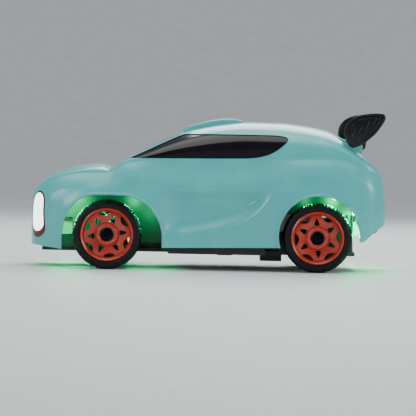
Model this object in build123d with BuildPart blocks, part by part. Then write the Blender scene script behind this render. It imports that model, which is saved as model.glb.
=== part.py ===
"""A 1:28 rear-drive radio-control drift car: lift-off hatchback shell, sprung front axle, solid rear axle.

The car stands on its tyres at Z 0 with its nose towards -Y and its left side towards +X.
The origin is on the ground, under the middle of the overall length. All sizes are in millimetres.
"""

import math
import os

from build123d import *

# ---------------------------------------------------------------- driving dimensions
# Overall layout
WHEELBASE = 98.0
FRONT_OVERHANG = 35.8  # front axle to nose
REAR_OVERHANG = 32.2  # rear axle to tail
BODY_WIDTH = 76.0
ROOF_Z = 69.6
BONNET_Z = 48.2
BELT_Z = 51.8  # lower edge of the windows
SILL_Z = 10.5
SHELL_WALL = 1.2
GLASS_RECESS = 0.3  # how far the windows sit below the paint

# Wheels
TYRE_RADIUS = 16.2
TYRE_WIDTH = 10.0
TYRE_SHOULDER = 1.8
RIM_RADIUS = TYRE_RADIUS - 3.7
BEAD_RADIUS = RIM_RADIUS - 0.9
FLANGE_WIDTH = 0.85
WHEEL_X = 30.5  # middle of each tyre
FRONT_WHEEL_TURN = -20.0  # how the spokes of the front wheels stand, in degrees
HUB_RADIUS = 5.4
SPOKE_PAIRS = 6
WEB_THICKNESS = 2.2
WEB_RECESS = 1.4  # from the wheel's outer face to the spokes
AXLE_RADIUS = 1.5
AXLE_FIT = 0.05  # radial play of a shaft in its bearing
BEARING_RADIUS = 3.0
BEARING_WIDTH = 2.5
SCREW_HEAD_RADIUS = 3.0
SCREW_HEAD_HEIGHT = 1.5
SCREW_RADIUS = 1.0

# Chassis
CHASSIS_Z = 7.6  # underside of the tub above the ground
FLOOR = 1.6
TUB_HALF_WIDTH = 30.5
TUB_WALL = 1.6
TUB_WALL_HEIGHT = 6.0
SPINE_HALF_WIDTH = 13.0
BASE_HOLE_SPACING = 44.0
BASE_HOLE_RADIUS = 1.1
BASE_HOLE_Y = 10.0

# Front axle
KINGPIN_X = 20.5
KINGPIN_RADIUS = 1.0
KINGPIN_FIT = 0.06
KNUCKLE_RADIUS = 2.6
KNUCKLE_HEIGHT = 8.0
DROOP_TRAVEL = 0.8
SPRING_LENGTH = 4.4
SPRING_WIRE = 0.45
STEER_ARM = 8.0
STEER_LOCK = 28.0
STEER_GAIN = 0.98  # tie rod travel over arm length times angle
TIE_ROD_DEPTH = 3.0
PIN_RADIUS = 0.8
PIN_PLAY = 0.35
HORN_LENGTH = 6.7
HORN_GAIN = 0.95

# Drive
MODULE = 0.4
SPUR_TEETH = 40
PINION_TEETH = 12
PRESSURE_ANGLE = 25.0
BACKLASH = 0.06
GEAR_X = 15.8
GEAR_WIDTH = 3.0
MOTOR_RISE = 3.2  # motor shaft above the axle
MOTOR_RADIUS = 10.0
MOTOR_FLAT = 7.6
MOTOR_LENGTH = 25.0
BULKHEAD_X = 20.0

# Battery and electronics
BATTERY = (30.0, 34.0, 14.0)
BATTERY_Y = 3.5
BOARD = (28.0, 32.0, 1.2)

# Places worked out from the sizes above
LENGTH = FRONT_OVERHANG + WHEELBASE + REAR_OVERHANG
NOSE_Y = -LENGTH / 2
TAIL_Y = LENGTH / 2
FRONT_Y = NOSE_Y + FRONT_OVERHANG
REAR_Y = FRONT_Y + WHEELBASE
HALF_WIDTH = BODY_WIDTH / 2
HUB_Z = TYRE_RADIUS
FLOOR_Z = CHASSIS_Z + FLOOR
SKIRT_Z = SILL_Z - 2.5
SIDES = {"left": 1, "right": -1}
os.makedirs("parts", exist_ok=True)


def save(part, name):
    """Writes one finished piece under its own name."""
    part.label = name
    export_step(part, f"parts/{name}.step")


def nose(distance):
    """Y of a station that far behind the nose."""
    return NOSE_Y + distance


def cabin(share):
    """Y of a station that share of the way from the front axle to the rear one."""
    return FRONT_Y + share * WHEELBASE


def tail(distance):
    """Y of a station that far ahead of the tail."""
    return TAIL_Y - distance


def curve(points):
    """A smooth function through the points that never overshoots them."""
    xs, ys = zip(*points)
    last = len(xs) - 1
    steps = [xs[i + 1] - xs[i] for i in range(last)]
    rises = [(ys[i + 1] - ys[i]) / steps[i] for i in range(last)]
    slopes = [rises[0]]
    for i in range(1, last):
        before, after = rises[i - 1], rises[i]
        if before * after <= 0:
            slopes.append(0.0)
        else:
            a = 2 * steps[i] + steps[i - 1]
            b = steps[i] + 2 * steps[i - 1]
            slopes.append((a + b) / (a / before + b / after))
    slopes.append(rises[-1])

    def value(x):
        x = min(max(x, xs[0]), xs[-1])
        i = 0
        while i < last - 1 and x > xs[i + 1]:
            i += 1
        t = (x - xs[i]) / steps[i]
        start = ys[i] + t * t * (3 - 2 * t) * (ys[i + 1] - ys[i])
        return start + steps[i] * t * (1 - t) * ((1 - t) * slopes[i] - t * slopes[i + 1])

    return value


# ---------------------------------------------------------------- body surface
# Centre line of the bonnet, windscreen, roof and hatch, from nose to tail.
top_line = curve(
    [
        (nose(0), BONNET_Z - 13.6),
        (nose(1.2), BONNET_Z - 11.0),
        (nose(4.2), BONNET_Z - 8.0),
        (nose(7.2), BONNET_Z - 5.8),
        (nose(12), BONNET_Z - 3.2),
        (nose(19), BONNET_Z - 1.2),
        (nose(27), BONNET_Z),
        (cabin(0.0), BONNET_Z),
        (cabin(0.07), BELT_Z - 0.8),
        (cabin(0.18), ROOF_Z - 12.4),
        (cabin(0.27), ROOF_Z - 8.1),
        (cabin(0.34), ROOF_Z - 5.4),
        (cabin(0.42), ROOF_Z - 3.3),
        (cabin(0.55), ROOF_Z - 0.9),
        (cabin(0.68), ROOF_Z),
        (cabin(0.82), ROOF_Z - 0.1),
        (cabin(0.93), ROOF_Z - 1.2),
        (tail(27), ROOF_Z - 3.6),
        (tail(21), ROOF_Z - 6.6),
        (tail(11.4), BELT_Z + 4.5),
        (tail(3.4), BELT_Z - 3.6),
        (tail(1.6), BELT_Z - 6.9),
        (tail(0.8), BELT_Z - 10.3),
        (tail(0), BELT_Z - 15.8),
    ]
)
# Height of the edge where the side turns into the bonnet, the windows or the hatch.
edge_line = curve(
    [
        (nose(0), BONNET_Z - 16.2),
        (nose(4), BONNET_Z - 10.7),
        (nose(12), BONNET_Z - 5.7),
        (nose(22), BONNET_Z - 3.4),
        (cabin(0.0), BONNET_Z - 2.7),
        (cabin(0.1), BELT_Z - 1.3),
        (cabin(0.3), BELT_Z),
        (cabin(0.8), BELT_Z + 1.0),
        (tail(25), BELT_Z + 1.7),
        (tail(12), BELT_Z - 1.8),
        (tail(4), BELT_Z - 6.3),
        (tail(0), BELT_Z - 17.8),
    ]
)
# Half width of the side at its widest, seen from above.
plan_line = curve(
    [
        (nose(0), HALF_WIDTH - 16.0),
        (nose(0.8), HALF_WIDTH - 11.5),
        (nose(2.5), HALF_WIDTH - 7.5),
        (nose(5.5), HALF_WIDTH - 4.6),
        (nose(10), HALF_WIDTH - 2.6),
        (nose(18), HALF_WIDTH - 1.0),
        (cabin(0.0), HALF_WIDTH),
        (cabin(0.35), HALF_WIDTH - 1.6),
        (cabin(0.65), HALF_WIDTH - 1.4),
        (cabin(1.0), HALF_WIDTH),
        (tail(18), HALF_WIDTH - 0.6),
        (tail(10), HALF_WIDTH - 2.4),
        (tail(5.5), HALF_WIDTH - 4.6),
        (tail(2.5), HALF_WIDTH - 7.8),
        (tail(0.8), HALF_WIDTH - 11.5),
        (tail(0), HALF_WIDTH - 16.0),
    ]
)
# Share of that half width from the sill (0) up to the edge line (1).
side_shape = curve([(0, 0.945), (0.3, 0.972), (0.6, 1.0), (0.78, 0.975), (0.9, 0.91), (1, 0.85)])
ROOF_ROUNDNESS = 2.8
SIDE_POINTS = 7
ROOF_POINTS = 6
STATIONS = (
    [nose(d) for d in (0, 0.8, 2.5, 5.5, 10, 16, 23, 30)]
    + [cabin(f) for f in (0.0, 0.07, 0.14, 0.22, 0.3, 0.38, 0.48, 0.6, 0.72, 0.84, 0.95, 1.03)]
    + [tail(d) for d in (24, 18, 13, 8, 4.5, 2, 0.8, 0)]
)


def half_section(y, inset):
    """Points (x, z) of one cross-section from the sill to the centre line, moved in by inset."""
    crown = top_line(y) - inset
    edge = min(edge_line(y), crown - 1.5)
    points = []
    for k in range(SIDE_POINTS + 1):
        share = k / SIDE_POINTS
        points.append((plan_line(y) * side_shape(share) - inset, SKIRT_Z + (edge - SKIRT_Z) * share))
    edge_x = points[-1][0]
    for k in range(1, ROOF_POINTS + 1):
        angle = math.pi / 2 * k / ROOF_POINTS
        across = max(0.0, math.cos(angle)) ** (2 / ROOF_ROUNDNESS) if k < ROOF_POINTS else 0.0
        up = math.sin(angle) ** (2 / ROOF_ROUNDNESS)
        points.append((edge_x * across, edge + (crown - edge) * up))
    return points


def full_section(y, inset):
    """The same cross-section from the left sill over the roof to the right sill."""
    half = half_section(y, inset)
    return half + [(-x, z) for x, z in reversed(half[:-1])]


def knots(points):
    """Spline parameters in proportion to the distance between the points, from 0 to 1."""
    distances = [0.0]
    for a, b in zip(points, points[1:]):
        distances.append(distances[-1] + math.dist(a, b))
    return [d / distances[-1] for d in distances]


def body_block(inset, bottom_z):
    """The whole body as one solid, with every surface moved in by inset."""
    squeeze = 1 - inset / TAIL_Y
    shared_knots = knots(full_section(cabin(0.5), inset))
    with BuildPart() as block:
        for y in STATIONS:
            half = half_section(y, inset)
            sill_x = half[0][0]
            points = [Vector(x, z) for x, z in full_section(y, inset)]
            with BuildSketch(Plane.XZ.offset(-y * squeeze)):
                with BuildLine():
                    add(Edge.make_spline(points, parameters=shared_knots))
                    Polyline(
                        (-sill_x, half[0][1]), (-sill_x, bottom_z), (sill_x, bottom_z), (sill_x, half[0][1])
                    )
                make_face()
        loft()
    return block.part


def half_width_at(y, z):
    """Half width of the outside of the body at a height below the edge line."""
    share = (z - SKIRT_Z) / (edge_line(y) - SKIRT_Z)
    return plan_line(y) * side_shape(share)


outer_block = body_block(0, SKIRT_Z - 2)
glass_block = body_block(GLASS_RECESS, SKIRT_Z - 2)
inner_block = body_block(SHELL_WALL, SKIRT_Z - 5)

# ---------------------------------------------------------------- openings in the shell
# Front arch: two elliptical corners with a short flat top. Rear arch: a circle.
ARCH_AHEAD = 21.6
ARCH_BEHIND = 26.2
ARCH_TOP_Z = 35.2
ARCH_LOW_Z = 15.0
ARCH_FLAT = 6.0
REAR_ARCH_RADIUS = 19.4
REAR_ARCH_SHIFT = (0.7, 0.8)
REACH = HALF_WIDTH + 10

with BuildPart() as arch_cutter:
    with BuildSketch(Plane.YZ):
        with BuildLine():
            front_y = FRONT_Y - ARCH_AHEAD
            back_y = FRONT_Y + ARCH_BEHIND
            rise = ARCH_TOP_Z - ARCH_LOW_Z
            Polyline(
                (front_y, ARCH_LOW_Z), (front_y, 0), (back_y, 0), (back_y, ARCH_LOW_Z)
            )
            EllipticalCenterArc(
                (FRONT_Y - ARCH_FLAT, ARCH_LOW_Z), ARCH_AHEAD - ARCH_FLAT, rise, 90, arc_size=90
            )
            Line((FRONT_Y - ARCH_FLAT, ARCH_TOP_Z), (FRONT_Y + ARCH_FLAT, ARCH_TOP_Z))
            EllipticalCenterArc(
                (FRONT_Y + ARCH_FLAT, ARCH_LOW_Z), ARCH_BEHIND - ARCH_FLAT, rise, 0, arc_size=90
            )
        make_face()
    extrude(amount=REACH, both=True)
    with BuildSketch(Plane.YZ):
        with Locations((REAR_Y + REAR_ARCH_SHIFT[0], HUB_Z + REAR_ARCH_SHIFT[1])):
            Circle(REAR_ARCH_RADIUS)
    extrude(amount=REACH, both=True)

# Lower edge of the bumpers and sills, seen from the side.
with BuildPart() as underside_cutter:
    with BuildSketch(Plane.YZ):
        with BuildLine():
            Polyline(
                (NOSE_Y - 5, SILL_Z + 0.5),
                (nose(0), SILL_Z + 0.5),
                (FRONT_Y - ARCH_AHEAD, SILL_Z - 1.2),
                (FRONT_Y + ARCH_BEHIND, SILL_Z),
                (REAR_Y - REAR_ARCH_RADIUS, SILL_Z + 0.9),
                (tail(10.8), SILL_Z + 4.2),
                (tail(4.6), SILL_Z + 9.7),
                (tail(0.7), SILL_Z + 12.1),
                (tail(0), SILL_Z + 14.8),
                (TAIL_Y + 5, SILL_Z + 14.8),
                (TAIL_Y + 5, -5),
                (NOSE_Y - 5, -5),
                close=True,
            )
        make_face()
    extrude(amount=REACH, both=True)

# Side windows: one long teardrop from the windscreen pillar to the rear quarter.
WINDOW_TOP_Z = ROOF_Z - 5.9
window_lower = BELT_Z + 0.1
with BuildPart() as side_window_cutter:
    with BuildSketch(Plane.YZ.offset(HALF_WIDTH - 20)):
        with BuildLine():
            Line((cabin(0.1), window_lower), (cabin(0.64), window_lower + 0.6))
            Spline(
                (cabin(0.64), window_lower + 0.6),
                (cabin(0.775), window_lower + 2.8),
                (cabin(0.85), WINDOW_TOP_Z - 3.0),
                tangents=((1, 0.01), (0.7, 0.75)),
            )
            Spline(
                (cabin(0.85), WINDOW_TOP_Z - 3.0),
                (cabin(0.835), WINDOW_TOP_Z - 0.5),
                (cabin(0.78), WINDOW_TOP_Z),
                tangents=((0.5, 0.7), (-1, 0.02)),
            )
            Polyline(
                (cabin(0.78), WINDOW_TOP_Z),
                (cabin(0.36), WINDOW_TOP_Z - 0.1),
                (cabin(0.1), window_lower),
            )
        make_face()
    extrude(amount=30)
# Windscreen and hatch window, seen from above. A pillar of shell is left round the windscreen,
# and the side windows stop at it.
SCREEN_FOOT = HALF_WIDTH - 14.0
SCREEN_HEAD = HALF_WIDTH - 21.7
PILLAR = 1.4
HATCH_HALF_WIDTH = 21.0


def screen_prism(grow):
    """Upright prism through the windscreen, grow wider all round."""
    with BuildPart() as prism:
        with BuildSketch(Plane.XY.offset(BONNET_Z)):
            with BuildLine():
                Polyline(
                    (-SCREEN_FOOT - grow, cabin(0.085) - grow),
                    (SCREEN_FOOT + grow, cabin(0.085) - grow),
                    (SCREEN_HEAD + grow, cabin(0.335) + grow),
                    (-SCREEN_HEAD - grow, cabin(0.335) + grow),
                    close=True,
                )
            make_face()
        extrude(amount=ROOF_Z - BONNET_Z + 5)
    return prism.part


screen_cutter = screen_prism(0)
with BuildPart() as side_windows_cutter:
    add(side_window_cutter.part)
    mirror(side_window_cutter.part, about=Plane.YZ)
    add(screen_prism(PILLAR), mode=Mode.SUBTRACT)
with BuildPart() as hatch_cutter:
    with BuildSketch(Plane.XY.offset(BELT_Z - 8)):
        with Locations((0, tail(8.0))):
            RectangleRounded(2 * HATCH_HALF_WIDTH, 7.6, 1.5)
    extrude(amount=20)

# Headlights: upright ovals on the corners of the nose, square to the corner.
LAMP_Z = SILL_Z + 14.9
LAMP_LENGTH = 19.4
LAMP_WIDTH = 8.4
BEZEL = 0.9
LAMP_TURN = 48.0
lamp_y = nose(2.8)
lamp_x = half_width_at(lamp_y, LAMP_Z)


def lamp_plane(side):
    """Plane on the nose's corner that faces out of the headlight on that side."""
    turn = math.radians(LAMP_TURN)
    return Plane(
        origin=(side * lamp_x, lamp_y, LAMP_Z),
        x_dir=(0, 0, 1),
        z_dir=(side * math.sin(turn), -math.cos(turn), 0),
    )


def lamp_prism(side, grow):
    """Straight oval prism through the shell's corner, grow larger than the lens all round."""
    with BuildPart() as prism:
        with BuildSketch(lamp_plane(side)):
            SlotOverall(LAMP_LENGTH + 2 * grow, LAMP_WIDTH + 2 * grow)
        extrude(amount=7, both=True)
    return prism.part


# Grille slot, tail lamps and diffuser panel: cut straight through the end faces.
GRILLE_SIZE = (34.0, 7.0)
GRILLE_Z = SILL_Z + 9.0
TAIL_LAMP_SIZE = (13.0, 5.0)
TAIL_LAMP_X = 17.5
TAIL_LAMP_Z = BELT_Z - 16.5
with BuildPart() as grille_cutter:
    with BuildSketch(Plane.XZ.offset(-nose(-3))):
        with Locations((0, GRILLE_Z)):
            RectangleRounded(*GRILLE_SIZE, 2.0)
    extrude(amount=-7)
with BuildPart() as tail_lamp_cutter:
    with BuildSketch(Plane.XZ.offset(-tail(-3))):
        with Locations((-TAIL_LAMP_X, TAIL_LAMP_Z), (TAIL_LAMP_X, TAIL_LAMP_Z)):
            RectangleRounded(*TAIL_LAMP_SIZE, 1.6)
    extrude(amount=8)

# ---------------------------------------------------------------- shell magnets and bosses
POST_RADIUS = 2.0
MAGNET_RADIUS = 2.5
MAGNET_HEIGHT = 2.0
MAGNET_GAP = 0.1
BOSS_RADIUS = 3.6
FRONT_POST = (9.0, FRONT_Y - 13.3)
REAR_POST = (BULKHEAD_X + 1.25, REAR_Y + 15.0)
FRONT_POST_TOP = BONNET_Z - 10.2
REAR_POST_TOP = BELT_Z - 1.8
posts = [
    (side * x, y, post_top)
    for (x, y), post_top in ((FRONT_POST, FRONT_POST_TOP), (REAR_POST, REAR_POST_TOP))
    for side in SIDES.values()
]
magnet_seat = MAGNET_HEIGHT + MAGNET_GAP + MAGNET_HEIGHT

with BuildPart() as body_shell:
    add(outer_block)
    add(inner_block, mode=Mode.SUBTRACT)
    with BuildPart(mode=Mode.PRIVATE) as bosses:
        for x, y, post_top in posts:
            with BuildSketch(Plane.XY.offset(post_top + magnet_seat)):
                with Locations((x, y)):
                    Circle(BOSS_RADIUS)
            extrude(amount=14)
    add(bosses.part & inner_block)
    add(arch_cutter.part, mode=Mode.SUBTRACT)
    add(underside_cutter.part, mode=Mode.SUBTRACT)
    add(side_windows_cutter.part, mode=Mode.SUBTRACT)
    add(screen_cutter, mode=Mode.SUBTRACT)
    add(hatch_cutter.part, mode=Mode.SUBTRACT)
    for side in SIDES.values():
        add(lamp_prism(side, BEZEL), mode=Mode.SUBTRACT)
    add(grille_cutter.part, mode=Mode.SUBTRACT)
    add(tail_lamp_cutter.part, mode=Mode.SUBTRACT)
save(body_shell.part, "body_shell")

# ---------------------------------------------------------------- windows, lamps and grille
glazing = glass_block - inner_block
for name, prism in (("windscreen", screen_cutter), ("rear_window", hatch_cutter.part)):
    with BuildPart() as pane:
        add(glazing)
        add(prism, mode=Mode.INTERSECT)
    save(pane.part, name)
with BuildPart() as tail_lamps:
    add(glazing)
    add(tail_lamp_cutter.part, mode=Mode.INTERSECT)
save(tail_lamps.part, "tail_lamps")
for side_name, side in SIDES.items():
    with BuildPart() as half_space:
        with BuildSketch(Plane.YZ):
            Rectangle(LENGTH + 10, 200)
        extrude(amount=side * REACH)
    with BuildPart() as pane:
        add(glazing)
        add(side_windows_cutter.part, mode=Mode.INTERSECT)
        add(half_space.part, mode=Mode.INTERSECT)
    save(pane.part, f"side_window_{side_name}")
    with BuildPart() as lens:
        add(outer_block - inner_block)
        add(lamp_prism(side, 0), mode=Mode.INTERSECT)
    save(lens.part, f"headlight_lens_{side_name}")
    with BuildPart() as bezel:
        add(outer_block - inner_block)
        add(lamp_prism(side, BEZEL), mode=Mode.INTERSECT)
        add(lamp_prism(side, 0), mode=Mode.SUBTRACT)
    save(bezel.part, f"headlight_bezel_{side_name}")

# Grille: a thin backing behind four level bars.
GRILLE_BARS = 4
with BuildPart() as front_grille:
    add(glazing)
    add(grille_cutter.part, mode=Mode.INTERSECT)
    bar_pitch = GRILLE_SIZE[1] / GRILLE_BARS
    for k in range(GRILLE_BARS):
        with BuildSketch(Plane.XZ.offset(-nose(-2))):
            with Locations((0, GRILLE_Z - GRILLE_SIZE[1] / 2 + (k + 0.5) * bar_pitch)):
                Rectangle(GRILLE_SIZE[0] + 2, bar_pitch * 0.4)
        extrude(amount=-(SHELL_WALL + 0.9), mode=Mode.SUBTRACT)
save(front_grille.part, "front_grille")

# Roof scoop: a low hollow ram-air hood in front of the middle of the roof.
SCOOP_HALF_WIDTH = 8.0
SCOOP_WALL = 1.1
scoop_front = cabin(0.355)
scoop_back = cabin(0.64)
with BuildPart() as roof_scoop:
    with BuildSketch(Plane.YZ):
        with BuildLine():
            Polyline(
                (scoop_back, ROOF_Z - 4),
                (scoop_front + 0.3, ROOF_Z - 8),
                (scoop_front - 0.1, ROOF_Z - 3.8),
                (scoop_front + 1.5, ROOF_Z - 2.4),
            )
            Spline(
                (scoop_front + 1.5, ROOF_Z - 2.4),
                (scoop_front + 13.1, ROOF_Z + 0.7),
                (scoop_front + 22, ROOF_Z + 1.5),
                (scoop_back - 1.0, ROOF_Z + 1.0),
            )
            Polyline((scoop_back - 1.0, ROOF_Z + 1.0), (scoop_back, ROOF_Z), (scoop_back, ROOF_Z - 4))
        make_face()
    extrude(amount=SCOOP_HALF_WIDTH, both=True)
    with BuildSketch(Plane.YZ):
        with BuildLine():
            Polyline(
                (scoop_front - 2, ROOF_Z - 9),
                (scoop_front + 12, ROOF_Z - 3),
                (scoop_front + 12, ROOF_Z - 1.2),
                (scoop_front + 2, ROOF_Z - 3.5),
                (scoop_front - 2, ROOF_Z - 4.6),
                close=True,
            )
        make_face()
    extrude(amount=SCOOP_HALF_WIDTH - SCOOP_WALL, both=True, mode=Mode.SUBTRACT)
    add(outer_block, mode=Mode.SUBTRACT)
save(roof_scoop.part, "roof_scoop")

# Ducktail lip at the top of the hatch.
LIP_HALF_WIDTH = 23.0
with BuildPart() as roof_spoiler:
    with BuildSketch(Plane.YZ):
        with BuildLine():
            Polyline(
                (tail(21), ROOF_Z - 8.5),
                (tail(22.5), ROOF_Z - 5.9),
                (tail(21.5), ROOF_Z - 5.7),
                (tail(11.6), ROOF_Z - 8.5),
                (tail(11.4), ROOF_Z - 10.0),
                (tail(16), ROOF_Z - 11.5),
                close=True,
            )
        make_face()
    extrude(amount=LIP_HALF_WIDTH, both=True)
    add(outer_block, mode=Mode.SUBTRACT)
save(roof_spoiler.part, "roof_spoiler")

# Diffuser: a dark finned tray under the tail, held by the shell's rear wall.
DIFFUSER_HALF_WIDTH = 24.0
DIFFUSER_FINS = 5
with BuildPart() as rear_diffuser:
    with BuildSketch(Plane.YZ):
        with BuildLine():
            Polyline(
                (tail(9.0), SILL_Z + 8.0),
                (tail(4.6), SILL_Z + 11.8),
                (tail(1.6), SILL_Z + 14.0),
                (tail(1.6), SILL_Z + 16.5),
                (tail(3.0), SILL_Z + 16.5),
                (tail(9.0), SILL_Z + 9.6),
                close=True,
            )
        make_face()
    extrude(amount=DIFFUSER_HALF_WIDTH, both=True)
    with BuildPart(mode=Mode.PRIVATE) as fins:
        with BuildSketch(Plane.YZ):
            with BuildLine():
                Polyline(
                    (tail(9.0), SILL_Z + 9.0),
                    (tail(9.0), SILL_Z + 5.6),
                    (tail(4.0), SILL_Z + 8.6),
                    (tail(1.6), SILL_Z + 14.2),
                    close=True,
                )
            make_face()
        extrude(amount=0.5, both=True)
    for k in range(DIFFUSER_FINS):
        with Locations(((k / (DIFFUSER_FINS - 1) - 0.5) * 1.7 * DIFFUSER_HALF_WIDTH, 0, 0)):
            add(fins.part)
    add(outer_block - inner_block, mode=Mode.SUBTRACT)
    add(inner_block, mode=Mode.INTERSECT)
save(rear_diffuser.part, "rear_diffuser")

# Rear wing: two overlapping planes between leaf-shaped endplates, on two stands.
WING_HALF_SPAN = 29.0
ENDPLATE = 1.4
WING_Y = tail(11.0)
WING_Z = ROOF_Z - 2.2
STAND_X = 14.0


def blade(chord, thickness, tilt, at):
    """One wing plane: a flat-bottomed blade with a rounded nose, tilted tail-up."""
    with BuildPart() as plane:
        with BuildSketch(Plane.YZ):
            with Locations((Location((at[0], at[1], 0), (0, 0, tilt)))):
                SlotOverall(chord, thickness)
        extrude(amount=WING_HALF_SPAN, both=True)
    return plane.part


save(blade(12.0, 1.6, 8.0, (WING_Y - 1.0, WING_Z)), "wing_main_plane")
save(blade(8.0, 1.3, 24.0, (WING_Y + 5.2, WING_Z + 4.0)), "wing_upper_flap")
for side_name, side in SIDES.items():
    with BuildPart() as endplate:
        with BuildSketch(Plane.YZ.offset(side * WING_HALF_SPAN)):
            with BuildLine():
                Spline(
                    (tail(20.9), ROOF_Z - 7.0),
                    (tail(19.8), ROOF_Z - 1.2),
                    (tail(14.9), ROOF_Z + 3.2),
                    (tail(6.5), ROOF_Z + 4.8),
                    (tail(2.2), ROOF_Z + 4.4),
                )
                Line((tail(2.2), ROOF_Z + 4.4), (tail(1.8), ROOF_Z + 2.6))
                Spline(
                    (tail(1.8), ROOF_Z + 2.6),
                    (tail(6.5), ROOF_Z - 4.4),
                    (tail(11.0), ROOF_Z - 8.3),
                    (tail(16.0), ROOF_Z - 10.9),
                )
                Line((tail(16.0), ROOF_Z - 10.9), (tail(20.9), ROOF_Z - 7.0))
            make_face()
        extrude(amount=side * ENDPLATE)
    save(endplate.part, f"wing_endplate_{side_name}")
with BuildPart() as wing_stands:
    with BuildSketch(Plane.YZ):
        with BuildLine():
            Polyline(
                (WING_Y - 4.6, WING_Z - 1.25),
                (WING_Y + 2.0, WING_Z - 0.35),
                (WING_Y + 1.0, WING_Z - 12),
                (WING_Y - 7.0, WING_Z - 12),
                close=True,
            )
        make_face()
    extrude(amount=STAND_X + 0.7, both=True)
    with BuildSketch(Plane.YZ):
        with Locations((WING_Y, WING_Z - 5)):
            Rectangle(40, 30)
    extrude(amount=STAND_X - 0.7, both=True, mode=Mode.SUBTRACT)
    add(outer_block, mode=Mode.SUBTRACT)
    add(roof_spoiler.part, mode=Mode.SUBTRACT)
    add(blade(12.0, 1.6, 8.0, (WING_Y - 1.0, WING_Z)), mode=Mode.SUBTRACT)
save(wing_stands.part, "wing_stands")

# Magnets that hold the shell down: one in each boss, one on each post.
for name, lift in (("shell_magnets", MAGNET_HEIGHT + MAGNET_GAP), ("post_magnets", 0)):
    with BuildPart() as magnets:
        for x, y, post_top in posts:
            with BuildSketch(Plane.XY.offset(post_top + lift)):
                with Locations((x, y)):
                    Circle(MAGNET_RADIUS)
            extrude(amount=MAGNET_HEIGHT)
    save(magnets.part, name)

# ---------------------------------------------------------------- chassis
ARM_RADIUS = 3.2
ARM_TOP = HUB_Z - KNUCKLE_HEIGHT / 2 - DROOP_TRAVEL - 0.6
DECK_Z = HUB_Z + KNUCKLE_HEIGHT / 2 + 0.3 + 0.9 + SPRING_LENGTH
DECK_THICKNESS = 1.6
TOWER_X = 12.0
tub_front = cabin(0.29)
tub_back = cabin(0.755)
spine_front = nose(5.5)
deck_screw_spots = [(x, FRONT_Y + dy) for x in (-TOWER_X, TOWER_X) for dy in (-4.5, 4.5)]
spur_slot = (GEAR_WIDTH + 1.6, 2 * (MODULE * SPUR_TEETH / 2 + MODULE) + 1.6)
with BuildPart() as chassis_tub:
    with BuildSketch(Plane.XY.offset(CHASSIS_Z)):
        with Locations((0, (tub_front + tub_back) / 2)):
            Rectangle(2 * TUB_HALF_WIDTH, tub_back - tub_front)
        with Locations((0, (spine_front + tub_front) / 2)):
            Rectangle(2 * SPINE_HALF_WIDTH, tub_front - spine_front + 2)
        with Locations((0, (tub_back + REAR_Y + 17) / 2)):
            Rectangle(2 * BULKHEAD_X + 5, REAR_Y + 17 - tub_back + 2)
        with Locations((GEAR_X, REAR_Y)):
            Rectangle(*spur_slot, mode=Mode.SUBTRACT)
        with Locations(*[(k * BASE_HOLE_SPACING / 2, BASE_HOLE_Y) for k in (-1, 1)]):
            Circle(BASE_HOLE_RADIUS, mode=Mode.SUBTRACT)
    extrude(amount=FLOOR)
    with BuildSketch(Plane.XY.offset(FLOOR_Z)):
        with Locations((0, (tub_front + tub_back) / 2)):
            Rectangle(2 * TUB_HALF_WIDTH, tub_back - tub_front)
            inside = 2 * (TUB_HALF_WIDTH - TUB_WALL)
            Rectangle(inside, tub_back - tub_front - 2 * TUB_WALL, mode=Mode.SUBTRACT)
        with Locations((0, tub_front), (0, tub_back)):
            Rectangle(2 * SPINE_HALF_WIDTH, 4 * TUB_WALL, mode=Mode.SUBTRACT)
    extrude(amount=TUB_WALL_HEIGHT)
    # battery cradle walls
    with BuildSketch(Plane.XY.offset(FLOOR_Z)):
        with Locations((0, BATTERY_Y)):
            Rectangle(BATTERY[0] + 3.4, BATTERY[1] * 0.7)
            Rectangle(BATTERY[0] + 0.6, BATTERY[1] * 0.7, mode=Mode.SUBTRACT)
    extrude(amount=BATTERY[2] * 0.55)
    # lower arm with a boss under each kingpin
    with BuildSketch(Plane.XY.offset(CHASSIS_Z)):
        with Locations((0, FRONT_Y)):
            SlotCenterToCenter(2 * KINGPIN_X, 2 * ARM_RADIUS)
    extrude(amount=ARM_TOP - CHASSIS_Z)
    # towers under the front deck
    with BuildSketch(Plane.XY.offset(FLOOR_Z)):
        with Locations(*deck_screw_spots):
            Circle(1.8)
    extrude(amount=DECK_Z - FLOOR_Z)
    # riser under the bumper and the two front posts
    with BuildSketch(Plane.XY.offset(FLOOR_Z)):
        with Locations((0, nose(11.0))):
            Rectangle(20, 11)
    extrude(amount=SILL_Z + 4.5 - FLOOR_Z)
    with BuildSketch(Plane.XY.offset(FLOOR_Z)):
        with Locations(*[(x, y) for x, y, _ in posts[:2]]):
            Circle(POST_RADIUS)
    extrude(amount=FRONT_POST_TOP - FLOOR_Z)
    # skid blocks under the middle and in front of the rear axle
    with BuildSketch(Plane.XY.offset(CHASSIS_Z - 1.1)):
        with Locations((0, cabin(0.56))):
            Rectangle(24, 7)
    extrude(amount=1.1)
    with BuildSketch(Plane.XY.offset(CHASSIS_Z - 3.4)):
        with Locations((0, cabin(0.785))):
            Rectangle(26, 10)
    extrude(amount=3.4)
    for side in SIDES.values():
        with Locations((side * KINGPIN_X, FRONT_Y, CHASSIS_Z)):
            Cylinder(
                KINGPIN_RADIUS, 30, align=(Align.CENTER, Align.CENTER, Align.MIN), mode=Mode.SUBTRACT
            )
save(chassis_tub.part, "chassis_tub")

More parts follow.
